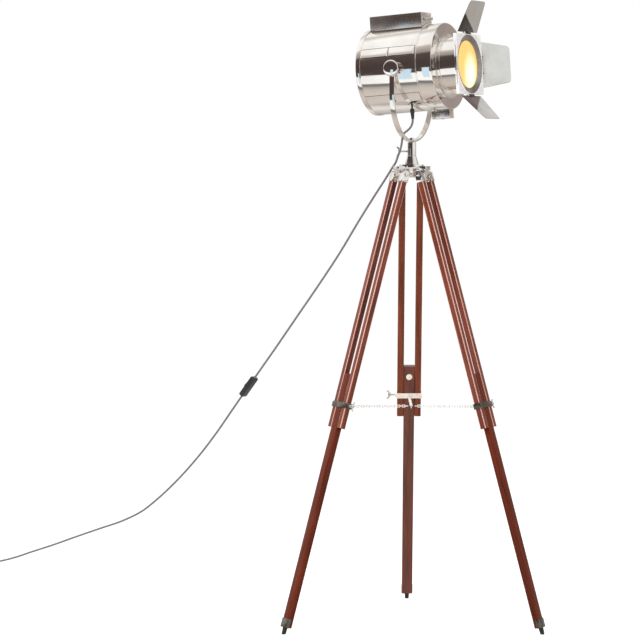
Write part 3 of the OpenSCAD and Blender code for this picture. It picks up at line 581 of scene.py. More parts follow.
# The top and bottom leaves carry a painted dark reflection.
topLeafSteel = paintedReflectionSteel("topLeafSteel", (0.80, 0.79, 0.775), (0.062, 0.050, 0.042), 0.047, 1.3)
lowLeafSteel = paintedReflectionSteel("lowLeafSteel", (0.68, 0.675, 0.67), (0.13, 0.068, 0.062), 0.060, -1)
frameSteel = polished("frameSteel", (0.94, 0.925, 0.91), (0.84, 0.82, 0.80), 0.24, 0.15, 20.0, 0.3, 9.0,
                      0.0001, 0.35)
darkMetal = polished("darkMetal", (0.30, 0.28, 0.26), (0.20, 0.18, 0.16), 0.22, 0.2, 40.0)
ringMetal = polished("ringMetal", (0.45, 0.42, 0.39), (0.30, 0.27, 0.24), 0.22, 0.2, 40.0)
chainSteel = polished("chainSteel", (0.92, 0.90, 0.87), (0.8, 0.78, 0.75), 0.30, 0.2, 90.0, metallic=0.25)
# One fitting steel in two tones: a pale copy for the rear leg, painted light, and a dark copy for the front
# legs, painted shade.
litFittingSteel = polished("litFittingSteel", (0.93, 0.86, 0.76), (0.80, 0.74, 0.66), 0.22, 0.15, 30.0, metallic=0.3)
shadedFittingSteel = polished("shadedFittingSteel", (0.21, 0.20, 0.175), (0.12, 0.11, 0.095), 0.22, 0.2, 60.0)
# A painted highlight along the front rails' chamfered edges.
railEdgeHighlight = {"middle": 0.023, "x": 0.0060, "y": 0.0064, "share": 0.85, "colour": (0.72, 0.40, 0.34)}
# The front legs' woods are darker copies of the rear legs' woods: painted shade.
railWood = varnished("railWood", (0.28, 0.066, 0.026), (0.095, 0.020, 0.009), 0.12, 0.2)
shadedFrontRailWood = varnished("shadedFrontRailWood", (0.25, 0.062, 0.034), (0.075, 0.018, 0.010), 0.15, 0.2, railEdgeHighlight)
lowerWood = varnished("lowerWood", (0.19, 0.040, 0.018), (0.060, 0.013, 0.007), 0.45, 0.5)
shadedFrontLowerWood = varnished("shadedFrontLowerWood", (0.17, 0.030, 0.012), (0.058, 0.010, 0.005), 0.05, 0.08)
footRubber = mouldedMaterial("footRubber", (0.012, 0.012, 0.012), (0.03, 0.03, 0.03), 0.6)
blackPlastic = mouldedMaterial("blackPlastic", (0.015, 0.015, 0.016), (0.03, 0.03, 0.03), 0.32, 1200.0)
cordSkin = mouldedMaterial("cordSkin", (0.13, 0.125, 0.12), (0.20, 0.19, 0.18), 0.35, 700.0)
ceramic = mouldedMaterial("ceramic", (0.80, 0.77, 0.70), (0.72, 0.69, 0.62), 0.15, 300.0)
mirrorMetal = polished("mirrorMetal", (0.88, 0.87, 0.85), (0.8, 0.79, 0.77), 0.04, 0.06)
lensMaterial = paintedGlowGlass(paintedLensGlow)
print("materials made")


cordSet = {"exit": (24, -64, -129.8), "diameter": 5.5, "sides": 16, "upper": 6, "lower": 10,
           "coilMiddle": (-1600, 282), "start": 78, "entry": 38.8, "outer": 32.75, "inner": 27.25,
           "low": 2.75, "high": 8.25, "turns": 3.42}
cordRoute = [
    [31.5, -63, 1286.5], [24.5, -58.5, 1276], [12, -51.5, 1267.5], [0, -44, 1261.5],
    [-8, -37, 1255.5], [-12, -32, 1246], [-14.5, -29.5, 1235.5], [-17.5, -28.5, 1224], [-21.5, -28.5, 1212],
    [-29, -23.5, 1200], [-37.5, -16.5, 1187], [-53, -9, 1170], [-69, -1, 1152], [-117, 13.5, 1094],
    [-161, 26, 1039], [-229, 45, 950], [-297, 58, 865], [-371, 72, 776], [-449, 88, 683],
    [-493, 96, 631], [-580, 113, 529], [-652, 128, 444], [-690, 135, 402], [-734, 144, 358],
    [-784, 154, 312], [-868, 171, 245], [-910, 179, 216], [-984, 195, 181], [-1079, 214, 148],
    [-1169, 233, 117], [-1260, 254, 85], [-1345, 273, 57], [-1430, 291, 29], [-1505, 305, 11],
    [-1592, 320, 2.8],
]


# 0 before start, 1 after end, and a smooth rise between.
def easedStep(t, start, end):
    s = np.clip((t - start) / (end - start), 0, 1)
    return s * s * (3 - 2 * s)


# Turns round the coil's middle: outer low, inner low, inner high, then outer high, each change eased.
def coilPath(s):
    t = np.linspace(0.02, s["turns"], int(s["turns"] * 40))
    radius = s["entry"] + (s["outer"] - s["entry"]) * easedStep(t, 0, 0.2)
    radius = radius + (s["inner"] - s["outer"]) * easedStep(t, 0.86, 1.1)
    radius = radius + (s["outer"] - s["inner"]) * easedStep(t, 2.44, 2.66)
    height = s["low"] + (s["high"] - s["low"]) * easedStep(t, 1.62, 1.94)
    angle = np.radians(s["start"] + 360 * t)
    return np.stack([s["coilMiddle"][0] + radius * np.cos(angle),
                     s["coilMiddle"][1] + radius * np.sin(angle), height], 1)


# A curve through the points: each stretch is a cubic whose end slopes come from the neighbouring points,
# weighted by their distances, and is then cut into even steps.
def smoothThrough(points, step=6.0):
    p = np.asarray(points, float)
    gap = np.linalg.norm(np.diff(p, axis=0), axis=1)
    t = np.concatenate([[0], np.cumsum(gap)])
    slope = np.gradient(p, t, axis=0)
    out = []
    for k in range(len(p) - 1):
        n = max(2, int(round(gap[k] / step)))
        u = np.linspace(0, 1, n, endpoint=False)[:, None]
        h = gap[k]
        out.append((2 * u**3 - 3 * u**2 + 1) * p[k] + (u**3 - 2 * u**2 + u) * h * slope[k]
                   + (-2 * u**3 + 3 * u**2) * p[k + 1] + (u**3 - u**2) * h * slope[k + 1])
    return np.concatenate(out + [p[-1:]])


def pathLength(path):
    return float(np.linalg.norm(np.diff(path, axis=0), axis=1).sum())


def roundSection(diameter, sides):
    a = np.radians(np.arange(sides) * 360 / sides)
    return np.stack([np.cos(a), np.sin(a)], 1) * diameter / 2


def makeCord(s):
    full = [outOf(headPlace, s["exit"])] + cordRoute
    section = roundSection(s["diameter"], s["sides"])
    marks = {}
    smooth = smoothThrough(full, 4.0)
    joinUpper, joinLower = [int(np.argmin(np.linalg.norm(smooth - np.array(full[s[key]]), axis=1)))
                            for key in ("upper", "lower")]
    marks["upper"], marks["lower"] = smooth[: joinUpper + 1], smooth[joinUpper: joinLower + 1]
    tail = np.concatenate([smooth[joinLower:], coilPath(s)])
    endDirection = tail[-1] - tail[-2]
    endDirection[2] = 0
    endDirection /= np.linalg.norm(endDirection)
    lead = [tail[-1] + endDirection * k - np.array([0, 0, 0.055 * k]) for k in (6, 12, 18, 23)]
    marks["run"] = np.concatenate([tail, lead])
    made = {}
    for key, body in (("upper", None), ("lower", None), ("run", "tripod")):
        shape = carried(marks[key], section, side=(0.19, 0.98, 0))
        stands = ["cord_run", "cord_coil"] if key == "run" else ["cord_" + key]
        made[key] = addPiece("cord" + key.capitalize(), shape, floorPlace, body, cordSkin,
                             stands)
    return made, marks


cordPieces, cordMarks = makeCord(cordSet)
print("cord made", {k: round(pathLength(v)) for k, v in cordMarks.items()})


stageSet = {"floorSize": 60.0, "skyDiffuse": 0.62, "glow": 0.80, "grey": 0.34, "reach": 8.0}
lampSet = {
    "keyLamp": {"at": (-2.6, -3.4, 3.4), "aim": (0, 0, 0.8), "size": (1.6, 2.2), "power": 190.0},
    "fillLamp": {"at": (3.6, -2.0, 2.0), "aim": (0, 0, 0.9), "size": (1.8, 2.4), "power": 60.0},
    "topLamp": {"at": (0.3, 0.6, 4.2), "aim": (0, 0, 1.0), "size": (2.6, 2.0), "power": 90.0},
}

# What polished metal sees of the floor, by the distance behind the lamp in metres.
floorBands = [(-8.0, (0.075, 0.055, 0.052)), (-6.4, (0.075, 0.055, 0.052)), (-5.7, (1.06, 1.05, 1.03)),
              (-1.98, (1.06, 1.05, 1.03)), (-1.88, (0.26, 0.25, 0.24)), (-1.60, (0.20, 0.19, 0.18)),
              (-1.32, (0.47, 0.44, 0.41)), (-1.0, (0.62, 0.56, 0.51)), (-0.5, (0.68, 0.61, 0.55)),
              (0.2, (0.50, 0.44, 0.40)), (0.7, (0.86, 0.83, 0.79)), (1.5, (0.62, 0.58, 0.54)),
              (3.2, (0.47, 0.43, 0.40)), (8.0, (0.50, 0.47, 0.44))]


def stageQuad(name, points, material):
    mesh = bpy.data.meshes.new(name)
    mesh.from_pydata(points, [], [[0, 1, 2, 3]])
    mesh.materials.append(material)
    piece = bpy.data.objects.new(name, mesh)
    scene.collection.objects.link(piece)
    return piece


# A material with nothing but its output node.
def bareMaterial(name):
    material, tree = newMaterial(name)
    tree.nodes.remove(tree.nodes["Principled BSDF"])
    return material, tree


# White to the eye, with the object's shadow kept by the share that is plain diffuse; polished metal sees
# bands across it instead.
def floorMaterial(s):
    material, tree = bareMaterial("floor")
    path = addNode(tree, "LightPath")
    glossy = path.outputs["Is Glossy Ray"]
    plain = addNode(tree, "BsdfDiffuse", {"Color": (0.72, 0.715, 0.71, 1)})
    lit = mixColour(tree, glossy, (s["grey"],) * 3, (0, 0, 0))
    grey = addNode(tree, "BsdfDiffuse", {"Color": lit})
    along = separate(tree, addNode(tree, "TexCoord").outputs["Object"])[1]
    share = plus(tree, mathNode(tree, "DIVIDE", along, 2 * s["reach"]), 0.5)
    bands = ramp(tree, share, [(y / (2 * s["reach"]) + 0.5, colour) for y, colour in floorBands])
    tint = mixColour(tree, glossy, (1, 1, 1), bands)
    strength = mathNode(tree, "MAXIMUM", glossy, s["glow"])
    glow = addNode(tree, "Emission", {"Color": tint, "Strength": strength})
    both = addNode(tree, "AddShader", {0: grey.outputs[0], 1: glow.outputs[0]})
    mix = addNode(tree, "MixShader", {0: seenDirectly(tree, path), 1: plain.outputs[0], 2: both.outputs[0]})
    feed(tree, tree.nodes["Material Output"], {0: mix.outputs[0]})
    return material


def seenDirectly(tree, path):
    eye = mathNode(tree, "MAXIMUM", path.outputs["Is Camera Ray"], path.outputs["Is Transmission Ray"])
    return mathNode(tree, "MAXIMUM", eye, path.outputs["Is Glossy Ray"])


# The room in polished metal: long panels parallel to X, each between two heights in degrees round that axis
# (0 is level on the near side, 90 overhead, 180 level on the far side).
roomSet = {
    "panels": [(-180, (0.95, 0.94, 0.92)), (-16, (1.0, 1.0, 1.0)), (-8, (0.075, 0.055, 0.052)),
               (12, (0.068, 0.048, 0.045)), (35, (0.095, 0.072, 0.066)), (39, (0.36, 0.31, 0.28)),
               (47, (0.46, 0.41, 0.37)), (56, (0.62, 0.57, 0.52)), (61, (1.04, 1.02, 1.0)),
               (98, (1.08, 1.07, 1.05)), (112, (0.66, 0.61, 0.57)), (126, (1.04, 1.03, 1.0)),
               (150, (0.72, 0.70, 0.68)), (180, (0.90, 0.89, 0.87))],
    "rightEnd": (0.86, 0.87, 0.85), "rightFar": (0.36, 0.305, 0.28),
}


def makeWorld(s, room):
    world = bpy.data.worlds.new("studio")
    scene.world = world
    world.use_nodes = True
    tree = world.node_tree
    path = addNode(tree, "LightPath")
    back = tree.nodes["Background"]
    x, y, z = separate(tree, addNode(tree, "TexCoord").outputs["Generated"])
    height = mathNode(tree, "ARCTAN2", z, times(tree, y, -1.0))
    turn = plus(tree, mathNode(tree, "DIVIDE", height, 2 * math.pi), 0.5)
    panels = ramp(tree, turn, [((a + 180) / 360, colour) for a, colour in room["panels"]])
    far = times(tree, smoothStep(tree, x, 0.12, 0.34), smoothStep(tree, y, 0.3, 0.6))
    panels = mixColour(tree, far, panels, room["rightFar"])
    panels = mixColour(tree, smoothStep(tree, x, 0.55, 0.85), panels, room["rightEnd"])
    colour = mixColour(tree, path.outputs["Is Glossy Ray"], (1, 1, 1), panels)
    seen = seenDirectly(tree, path)
    strength = plus(tree, times(tree, seen, 1 - s["skyDiffuse"]), s["skyDiffuse"])
    feed(tree, back, {"Color": colour, "Strength": strength})


blueSet = {"size": (0.24, 0.62), "at": (-0.40, -1.309, 1.05), "colour": (0.66, 0.84, 0.97)}


# A pale blue card in front of the lamp and below its head, seen only in polished metal.
def makeBlueCard(s):
    material, tree = bareMaterial("blueCard")
    glow = addNode(tree, "Emission", {"Color": (*s["colour"], 1), "Strength": 1.0})
    feed(tree, tree.nodes["Material Output"], {0: glow.outputs[0]})
    w, h = s["size"][0] / 2, s["size"][1] / 2
    x, y, z = s["at"]
    card = stageQuad("blueCard", [(x - w, y, z - h), (x + w, y, z - h), (x + w, y, z + h), (x - w, y, z + h)],
                     material)
    card.visible_camera = card.visible_diffuse = card.visible_shadow = card.visible_transmission = False


# A lamp looks down its own -Z, so it is turned by its aim's angle from straight down, then round Z.
def addLamp(name, s):
    data = bpy.data.lights.new(name, "AREA")
    data.shape = "RECTANGLE"
    data.size, data.size_y = s["size"]
    data.energy = s["power"]
    lamp = bpy.data.objects.new(name, data)
    lamp.location = s["at"]
    direction = np.array(s["aim"], float) - np.array(s["at"], float)
    yaw = math.atan2(direction[0], -direction[1])
    fromDown = math.atan2(math.hypot(direction[0], direction[1]), -direction[2])
    lamp.rotation_euler = (fromDown, 0, yaw + math.pi)
    lamp.visible_glossy = False
    scene.collection.objects.link(lamp)


def makeStage(s):
    half = s["floorSize"] / 2
    stageQuad("floor", [(-half, -half, 0), (half, -half, 0), (half, half, 0), (-half, half, 0)],
              floorMaterial(s))
    makeWorld(s, roomSet)
    makeBlueCard(blueSet)
    for name, lamp in lampSet.items():
        addLamp(name, lamp)


makeStage(stageSet)
scene.view_settings.view_transform = "Standard"
print("stage set")


railSet = {"depth": 16, "width": 17, "gap": 29, "top": 8, "end": 668, "corner": 2.6, "edge": 0.8}
lowerSet = {"depth": 15.6, "width": 28.4, "top": 527, "corner": 2.4, "edge": 1.0}


# A leg's own piece, named after the solid that it stands for.
def legPiece(node, name, shape, body, material, place=None):
    addPiece(camel(node) + "_" + name, shape, place or legPlaces[name], body + "_" + name, material,
             [node + "_" + name])


def makeRails(name, s):
    x, y = s["depth"] / 2, s["width"] / 2
    board = prism(oblong(x, y, s["corner"]), -s["end"], -s["top"] - 4, s["edge"])
    middle = (s["gap"] + s["width"]) / 2
    pair = merged(shifted(board, (0, middle, 0)), shifted(board, (0, -middle, 0)))
    wood = railWood if name == "rear" else shadedFrontRailWood
    legPiece("upper_rails", name, pair, "upper_leg", wood)


def makeLowerRail(name, s):
    x, y = s["depth"] / 2, s["width"] / 2
    low = lowestOf("rail_fittings_" + name, legPlaces[name]) + 1.2
    board = prism(oblong(x, y, s["corner"]), low, -s["top"], s["edge"])
    wood = lowerWood if name == "rear" else shadedFrontLowerWood
    legPiece("lower_rail", name, board, "lower_leg", wood)


# How far a solid reaches down the place's Z.
def lowestOf(node, place):
    points = np.zeros(len(nodes[node].data.vertices) * 3)
    nodes[node].data.vertices.foreach_get("co", points)
    return float(into(place, points.reshape(-1, 3) / mm)[:, 2].min())


tipSet = {"shift": 3, "top": 6.4, "bottom": 5.0, "length": 16, "stretch": 1.15, "grooves": 4,
          "grooveDepth": 0.35, "grooveWidth": 0.12, "grooved": (0.15, 0.7)}


# A rubber tip turned about the leg, with shallow bell-shaped grooves. Its points below the floor are lifted
# onto it.
def makeFootTip(name, s):
    place = legPlaces[name]
    top = lowestOf("rail_fittings_" + name, place)
    t = np.linspace(0, 1, 40)
    turns = t * s["grooves"]
    groove = s["grooveDepth"] * np.exp(-((turns - np.round(turns)) / s["grooveWidth"]) ** 2)
    within = (t > s["grooved"][0]) & (t < s["grooved"][1])
    radius = s["top"] + (s["bottom"] - s["top"]) * t - groove * within
    profile = np.stack([top - s["length"] * s["stretch"] * t, radius], 1)
    profile = np.concatenate([[[top, 0]], profile, [[profile[-1, 0], 0]]])
    shape = shifted(turnedShape(revolve(profile, 40, closed=False), "y", -90), (s["shift"], 0, 0))
    world = outOf(place, shape[0])
    world[:, 2] = np.maximum(world[:, 2], 0)
    legPiece("foot_tip", name, (into(place, world), shape[1]), "lower_leg", footRubber)


screwSet = {"shank": 2.5, "hub": 5.2, "hubLength": 7, "span": 24, "thread": 0.25, "pitch": 0.8, "wing": 1.3,
            "legSeat": 31.55, "legDrop": 609, "legBare": 17, "panSeat": 7.1, "panBare": 21.4}


# Along +Y: a threaded shank whose radius ripples with the pitch, a hub and two cast wings.
def wingScrew(bare, s):
    y = np.arange(0, bare, s["pitch"] / 4)
    ripple = s["shank"] - s["thread"] * (0.5 + 0.5 * np.cos(2 * math.pi * y / s["pitch"]))
    profile = np.concatenate([[[0, 0]], np.stack([y, ripple], 1), [[bare, 0]]])
    shank = turnedShape(revolve(profile, 24, closed=False), "z", 90)
    hubOutline = rounded([(bare, 0), (bare, s["hub"] - 0.8), (bare + 1.5, s["hub"]),
                          (bare + 5.5, s["hub"] - 0.4), (bare + s["hubLength"], s["hub"] - 2),
                          (bare + s["hubLength"], 0)], [0, 0.6, 1, 1, 0.8, 0], 3)
    hub = turnedShape(revolve(hubOutline, 32, closed=False), "z", 90)
    r = s["span"] / 2
    wing = rounded([(2, bare + 1), (4.5, bare + 1.5), (8, bare + 3), (r, bare + 7), (r + 0.1, bare + 10.5),
                    (r - 1.8, bare + 11.6), (8, bare + 9), (4.5, bare + 6.4), (2, bare + 6)],
                   [0, 1, 1.5, 1.5, 1.6, 1.6, 1.5, 1, 0], 3)
    blade = prism(wing, -s["wing"], s["wing"], 1.1, 3)
    blades = merged(blade, turnedShape(blade, "y", 180))
    return merged(shank, hub, turnedShape(blades, "y", 90))


def makeWingBolt(name, s):
    shape = shifted(wingScrew(s["legBare"], s), (0, s["legSeat"], -s["legDrop"]))
    legPiece("wing_bolt", name, shape, "clamp_screw", screwChrome)


chainSet = {"linkLength": 12.5, "linkWidth": 7.4, "wire": 1.9, "count": 24, "ring": 6, "ringWire": 2,
            "ringHeight": 560, "eyePin": 1.1, "pinGap": 0.3, "play": 0.7, "ringGap": 3.5, "ringSteps": 32}


# A wire ring pulled long: two half circles joined by straight sides, with a round section carried round.
def linkShape(s):
    half, r = (s["linkLength"] - s["linkWidth"]) / 2, (s["linkWidth"] - s["wire"]) / 2
    right = arcPoints((half, 0), r, -90, 90, 9)
    left = arcPoints((-half, 0), r, 90, 270, 9)
    path = np.concatenate([right, left])
    path = np.concatenate([path, np.zeros((len(path), 1))], 1)
    return carried(path, roundSection(s["wire"], 8), closed=True)


# Links lie flat and on edge by turns, spaced evenly from the collar's eye to the middle ring. The rear leg's
# arm carries the ring.
def makeChain(name, s):
    joint = joints["chain_swing_" + name]
    eye = np.array(joint["pos_m"]) / mm
    inward = np.array([0, 0, float(s["ringHeight"])]) - eye
    reach = np.linalg.norm(inward)
    inward /= reach
    side = np.array(joint["axis"])
    arm = placeAt(eye, inward, side, np.cross(inward, side))
    withRing = name == "rear"
    start = -(s["eyePin"] + s["pinGap"] + s["wire"])
    end = reach - s["ring"] - s["ringGap"]
    if withRing:
        end = reach - s["ring"] + s["ringWire"] + s["play"] + s["wire"]
    pitch = (end - start - s["linkLength"]) / (s["count"] - 1)
    links = []
    for k in range(s["count"]):
        one = linkShape(s)
        if k % 2 == 0:
            one = turnedShape(one, "x", 90)
        links.append(shifted(one, (start + s["linkLength"] / 2 + k * pitch, 0, 0)))
    if withRing:
        circle = arcPoints((0, 0), s["ring"] - s["ringWire"] / 2, 0, 360, s["ringSteps"] + 1)[:-1]
        ringPath = np.stack([circle[:, 0] + reach, np.zeros(s["ringSteps"]), circle[:, 1]], 1)
        links.append(carried(ringPath, roundSection(s["ringWire"], 10), closed=True, side=(0, 1, 0)))
    legPiece("chain", name, merged(*links), "chain_arm", chainSteel, arm)


for name in legNames:
    makeRails(name, railSet)
    makeLowerRail(name, lowerSet)
    makeFootTip(name, tipSet)
    makeWingBolt(name, screwSet)
    makeChain(name, chainSet)
    eased("ferrules_" + name, 0.5, legChrome, legPlaces[name])
    # The rear leg's collar and fittings take the lit copy, the front legs' the shaded copy.
    steel = litFittingSteel if name == "rear" else shadedFittingSteel
    eased("collar_" + name, 0.5, steel, legPlaces[name])
    eased("rail_fittings_" + name, 0.3, steel, legPlaces[name])
print("legs made")


socketSet = {"low": 1181, "flare": 18, "flareHeight": 22, "radius": 11.5, "height": 35.5, "bore": 7.1,
             "depth": 30}
yokeSet = {"inner": 115, "thick": 4, "width": 14, "straight": 66, "corner": 1.3, "eyeRadius": 9}


def makePanSocket(s):
    base = s["low"] + s["flareHeight"]
    top = base + s["height"]
    inside = top - s["depth"]
    outer = rounded([(s["low"], 0.5), (s["low"], s["flare"]), (s["low"] + 2, s["flare"]),
                     (base, s["radius"] + 0.3)],
                    [0, 0.3, 0.5, 0], 3, False)
    rim = rounded([(base + 2, s["radius"]), (top, s["radius"]), (top, s["bore"]), (inside, s["bore"])],
                  [0, 1.2, 0.8, 0], 3, False)
    bead = [(base - 0.5, s["radius"] + 0.4), (base, s["radius"] + 0.5), (base + 1.2, s["radius"] + 0.5),
            (base + 1.7, s["radius"])]
    profile = np.concatenate([outer[:-1], bead, rim, [(inside, 0.5)]])
    addPiece("panSocket", turnedShape(revolve(profile, 96), "y", -90), floorPlace, "tripod", legChrome,
             ["pan_socket"])


def makePanScrew(s):
    joint = joints["pan_screw_turn"]
    out = np.array(joint["axis"])
    side = np.cross(out, [0, 0, 1])
    place = placeAt([0, 0, joint["pos_m"][2] / mm], side, out, np.cross(side, out))
    shape = shifted(wingScrew(s["panBare"], s), (0, s["panSeat"], 0))
    addPiece("panLockScrew", shape, place, "pan_screw", screwChrome, ["pan_lock_screw"])


# The strap's round-cornered section carried down one arm, round the bow and up the other.
def makeYoke(s):
    middle = s["inner"] + s["thick"] / 2
    downs = np.stack([np.full(12, -middle), np.linspace(2, -s["straight"], 12)], 1)[:-1]
    bow = arcPoints((0, -s["straight"]), middle, 180, 360, 121)
    ups = np.stack([np.full(12, middle), np.linspace(-s["straight"], 2, 12)], 1)[1:]
    line = np.concatenate([downs, bow, ups])
    path = np.stack([np.zeros(len(line)), line[:, 0], line[:, 1]], 1)
    t, w = s["thick"] / 2, s["width"] / 2
    strap = carried(path, oblong(t, w, s["corner"]), side=(1, 0, 0))
    eyes = []
    for sign in (-1, 1):
        outline = rounded([(-t, 0), (-t, s["eyeRadius"]), (t, s["eyeRadius"]), (t, 0)], [0, 1, 1, 0], 4)
        disc = revolve(outline, 64, closed=False)
        eyes.append(shifted(turnedShape(disc, "z", 90), (0, sign * middle, 0)))
    addPiece("yoke", merged(strap, *eyes), yokePlace, "yoke_frame", headChrome, ["yoke"])


knobSet = {"radius": 21, "thick": 11, "neck": 3, "neckRadius": 9, "rimThick": 4, "low": 119.3, "grip": 56,
           "mill": 0.22, "stud": 4, "studTip": 2.6, "arm": 115}


# A domed disc with a fine milled edge: its rim radius ripples round the disc.
def makeKnob(side, sign, s):
    rim = s["low"] + s["neck"]
    front = rim + s["rimThick"]
    profile = [(s["low"], 0), (s["low"], s["neckRadius"]), (rim, s["neckRadius"]), (rim, s["radius"]),
               (front, s["radius"])]
    dome = [(front + (s["thick"] - 7) * math.sin(a) + 0.6, (s["radius"] - 0.8) * math.cos(a))
            for a in np.radians(np.linspace(8, 90, 12))]
    outline = np.concatenate([rounded(profile, [0, 0.5, 1, 1.2, 0.6], 3, False), dome])
    shape = revolve(outline, 240, closed=False)
    points = shape[0]
    reach = np.hypot(points[:, 1], points[:, 2])
    angle = np.arctan2(points[:, 1], points[:, 2])
    rimOnly = (reach > s["radius"] - 0.3)[:, None]
    milled = rimOnly * s["mill"] * np.cos(angle * s["grip"])[:, None]
    points[:, 1:] *= 1 - milled / s["radius"] - s["mill"] / s["radius"] * rimOnly
    stud = rod(s["stud"], s["arm"], s["low"] + 2, "x")
    tip = rod(s["studTip"], s["arm"] - 3.5, s["arm"] + 1, "x")
    both = turnedShape(merged((points, shape[1]), stud, tip), "z", 90)
    if sign < 0:
        both = turnedShape(both, "z", 180)
    addPiece("tiltKnob" + side.capitalize(), both, yokePlace, "knob_" + side, headChrome,
             ["tilt_knob_" + side])


eased("hub", 0.9, legChrome)
eased("hinge_bolts", 0.5, screwChrome)
eased("pan_spigot", 0.4, screwChrome)
makePanSocket(socketSet)
makePanScrew(screwSet)
makeYoke(yokeSet)
makeKnob("left", 1, knobSet)
makeKnob("right", -1, knobSet)
print("hub and yoke made")


drumSet = {"radius": 109, "wall": 1, "back": -104, "front": 98, "rows": [17, -49], "sweep": 12.5, "hood": 3,
           "spans": [(-95, -18), (-16, 56)], "ramp": 2.6, "slot": 3.4, "crease": 1.5}


def headPiece(name, shape, material=headChrome, stands=(), angle=40):
    addPiece(name, shape, headPlace, "head", material, stands, angle)


def drumShape(s):
    profile = rounded([(s["back"], s["radius"] - s["wall"]), (s["back"], s["radius"]),
                       (s["front"], s["radius"]), (s["front"], s["radius"] - s["wall"])], 0.3, 2)
    return revolve(profile, 256)


# A pressed hood: its height is nothing along the upper edge and both ends and grows evenly to the open
# edge below.
def hoodShape(low, span, s):
    lengthSteps, widthSteps = 60, 24
    u = np.linspace(0, 1, lengthSteps)[:, None]
    v = np.linspace(0, 1, widthSteps)[None]
    x = span[0] + (span[1] - span[0]) * u + 0 * v
    ends = easedStep(np.minimum(x - span[0], span[1] - x), 0, s["ramp"])
    height = s["hood"] * ends * (1 - v + 0 * u)
    angle = np.radians(low + s["sweep"] * v + 0 * u)
    shells = []
    for lift in (0.0, -0.9):
        r = s["radius"] + 0.05 + height + lift * (height > 0.02)
        shells.append(np.stack([x, -r * np.cos(angle), r * np.sin(angle)], -1).reshape(-1, 3))
    count = lengthSteps * widthSteps
    faces = gridFaces(lengthSteps, widthSteps)
    under = [[count + k for k in f][::-1] for f in faces]
    edge = [[i * widthSteps, (i + 1) * widthSteps, count + (i + 1) * widthSteps, count + i * widthSteps]
            for i in range(lengthSteps - 1)]
    return np.concatenate(shells), faces + under + edge


# A dark strip of painted shade a hair proud of the drum, between two distances forward and two angles.
def shadeStripShape(start, end, low, high, s):
    x = np.linspace(start, end, 30)[:, None]
    angle = np.radians(np.linspace(low, high, 6))[None]
    r = s["radius"] + 0.12
    points = np.stack([x + 0 * angle, -r * np.cos(angle) + 0 * x, r * np.sin(angle) + 0 * x], -1)
    return points.reshape(-1, 3), gridFaces(30, 6)


# Painted shade as dark strips: one for the opening under a hood's free edge, and three for the pressed crease
# round its other three edges.
def slotShadeShapes(low, span, s):
    high, crease = low + s["sweep"], s["crease"]
    inset = s["ramp"] * 0.5
    turn = math.degrees(crease / s["radius"])
    return [shadeStripShape(span[0] + inset, span[1] - inset, low + 0.1, low + s["slot"], s),
            shadeStripShape(span[0] - crease, span[1] + crease, high, high + turn, s),
            shadeStripShape(span[0] - crease, span[0], low, high, s),
            shadeStripShape(span[1], span[1] + crease, low, high, s)]


def mirroredY(shape):
    return shape[0] * np.array([1, -1, 1]), [f[::-1] for f in shape[1]]


def makeDrum(s):
    headPiece("drum", drumShape(s), stands=["drum"])
    hoods, shadeStrips = [], []
    for low in s["rows"]:
        for span in s["spans"]:
            hoods += [hoodShape(low, span, s), mirroredY(hoodShape(low, span, s))]
            for strip in slotShadeShapes(low, span, s):
                shadeStrips += [strip, mirroredY(strip)]
    headPiece("drumHoods", merged(*hoods), angle=60)
    # Dark strips of painted shade in the louvres' openings and creases.
    headPiece("drumSlotShade", merged(*shadeStrips), darkMetal)


frontSet = {"bandRadius": 110.2, "bead": 1.7, "seam": 61, "face": 104, "noseRadius": 74, "noseEnd": 155,
            "lensRadius": 62, "lensEdge": 5, "crown": 5, "ringFront": 163, "bandInner": 109.05}


# The band with its rolled bead, turned over the drum, and the flat ring in front with a soft step.
def makeFrontCover(s):
    outer, face, nose = s["bandRadius"], s["face"], s["noseRadius"]
    bead = arcPoints((s["seam"] + 0.2, outer), s["bead"], 200, -10, 12)
    band = rounded([(s["seam"] + 4, outer), (face, outer), (face, nose + 8), (face + 0.7, nose + 6.5),
                    (face + 0.7, nose + 0.3), (face - 1.2, nose + 0.3), (face - 1.2, outer - 1.1)],
                   [0, 2.4, 0.8, 0.8, 0.4, 0.4, 1], 4, False)
    back = [(s["seam"] - 1.3, s["bandInner"])]
    headPiece("frontCover", revolve(np.concatenate([bead, band, back]), 256), stands=["front_cover"])


def makeNose(s):
    r, face, end = s["noseRadius"], s["face"], s["noseEnd"]
    profile = rounded([(face + 0.75, r - 1), (face + 0.75, r + 5), (face + 1.8, r + 5),
                       (face + 2.6, r + 0.4), (face + 4.5, r), (face + 5, r + 1.8), (face + 7, r + 1.8),
                       (face + 7.5, r), (end, r), (end, r - 9), (end - 1.2, r - 9), (end - 1.2, r - 1.2)],
                      [0, 0.5, 0.7, 0.6, 0.4, 0.8, 0.8, 0.4, 0.8, 0.3, 0.3, 0.3], 3)
    headPiece("nose", revolve(profile, 224), stands=["nose"])


# A shallow dome of glass: its height falls off with the square of the distance from its middle.
def makeLens(s):
    t = np.linspace(0, 1, 24)
    back = s["noseEnd"] - s["lensEdge"]
    dome = np.stack([s["noseEnd"] + s["crown"] * (1 - t**2), s["lensRadius"] * t], 1)
    profile = np.concatenate([dome, [(back, s["lensRadius"]), (back, 0)]])
    headPiece("lens", revolve(profile, 160, closed=False), lensMaterial, ["lens"])


def makeLensRing(s):
    r, front, end, lens = s["noseRadius"], s["ringFront"], s["noseEnd"], s["lensRadius"]
    profile = rounded([(end + 0.8, lens - 2), (end + 2.2, lens - 2.2), (end + 3.2, lens - 0.6),
                       (front, r - 0.8), (front, r + 0.5), (end + 2, lens - 0.5), (end + 0.8, lens - 0.5)],
                      [0.3, 0.6, 0.5, 0.3, 0.3, 0.3, 0.3], 3)
    headPiece("lensRing", revolve(profile, 192), ringMetal, ["lens_ring"])


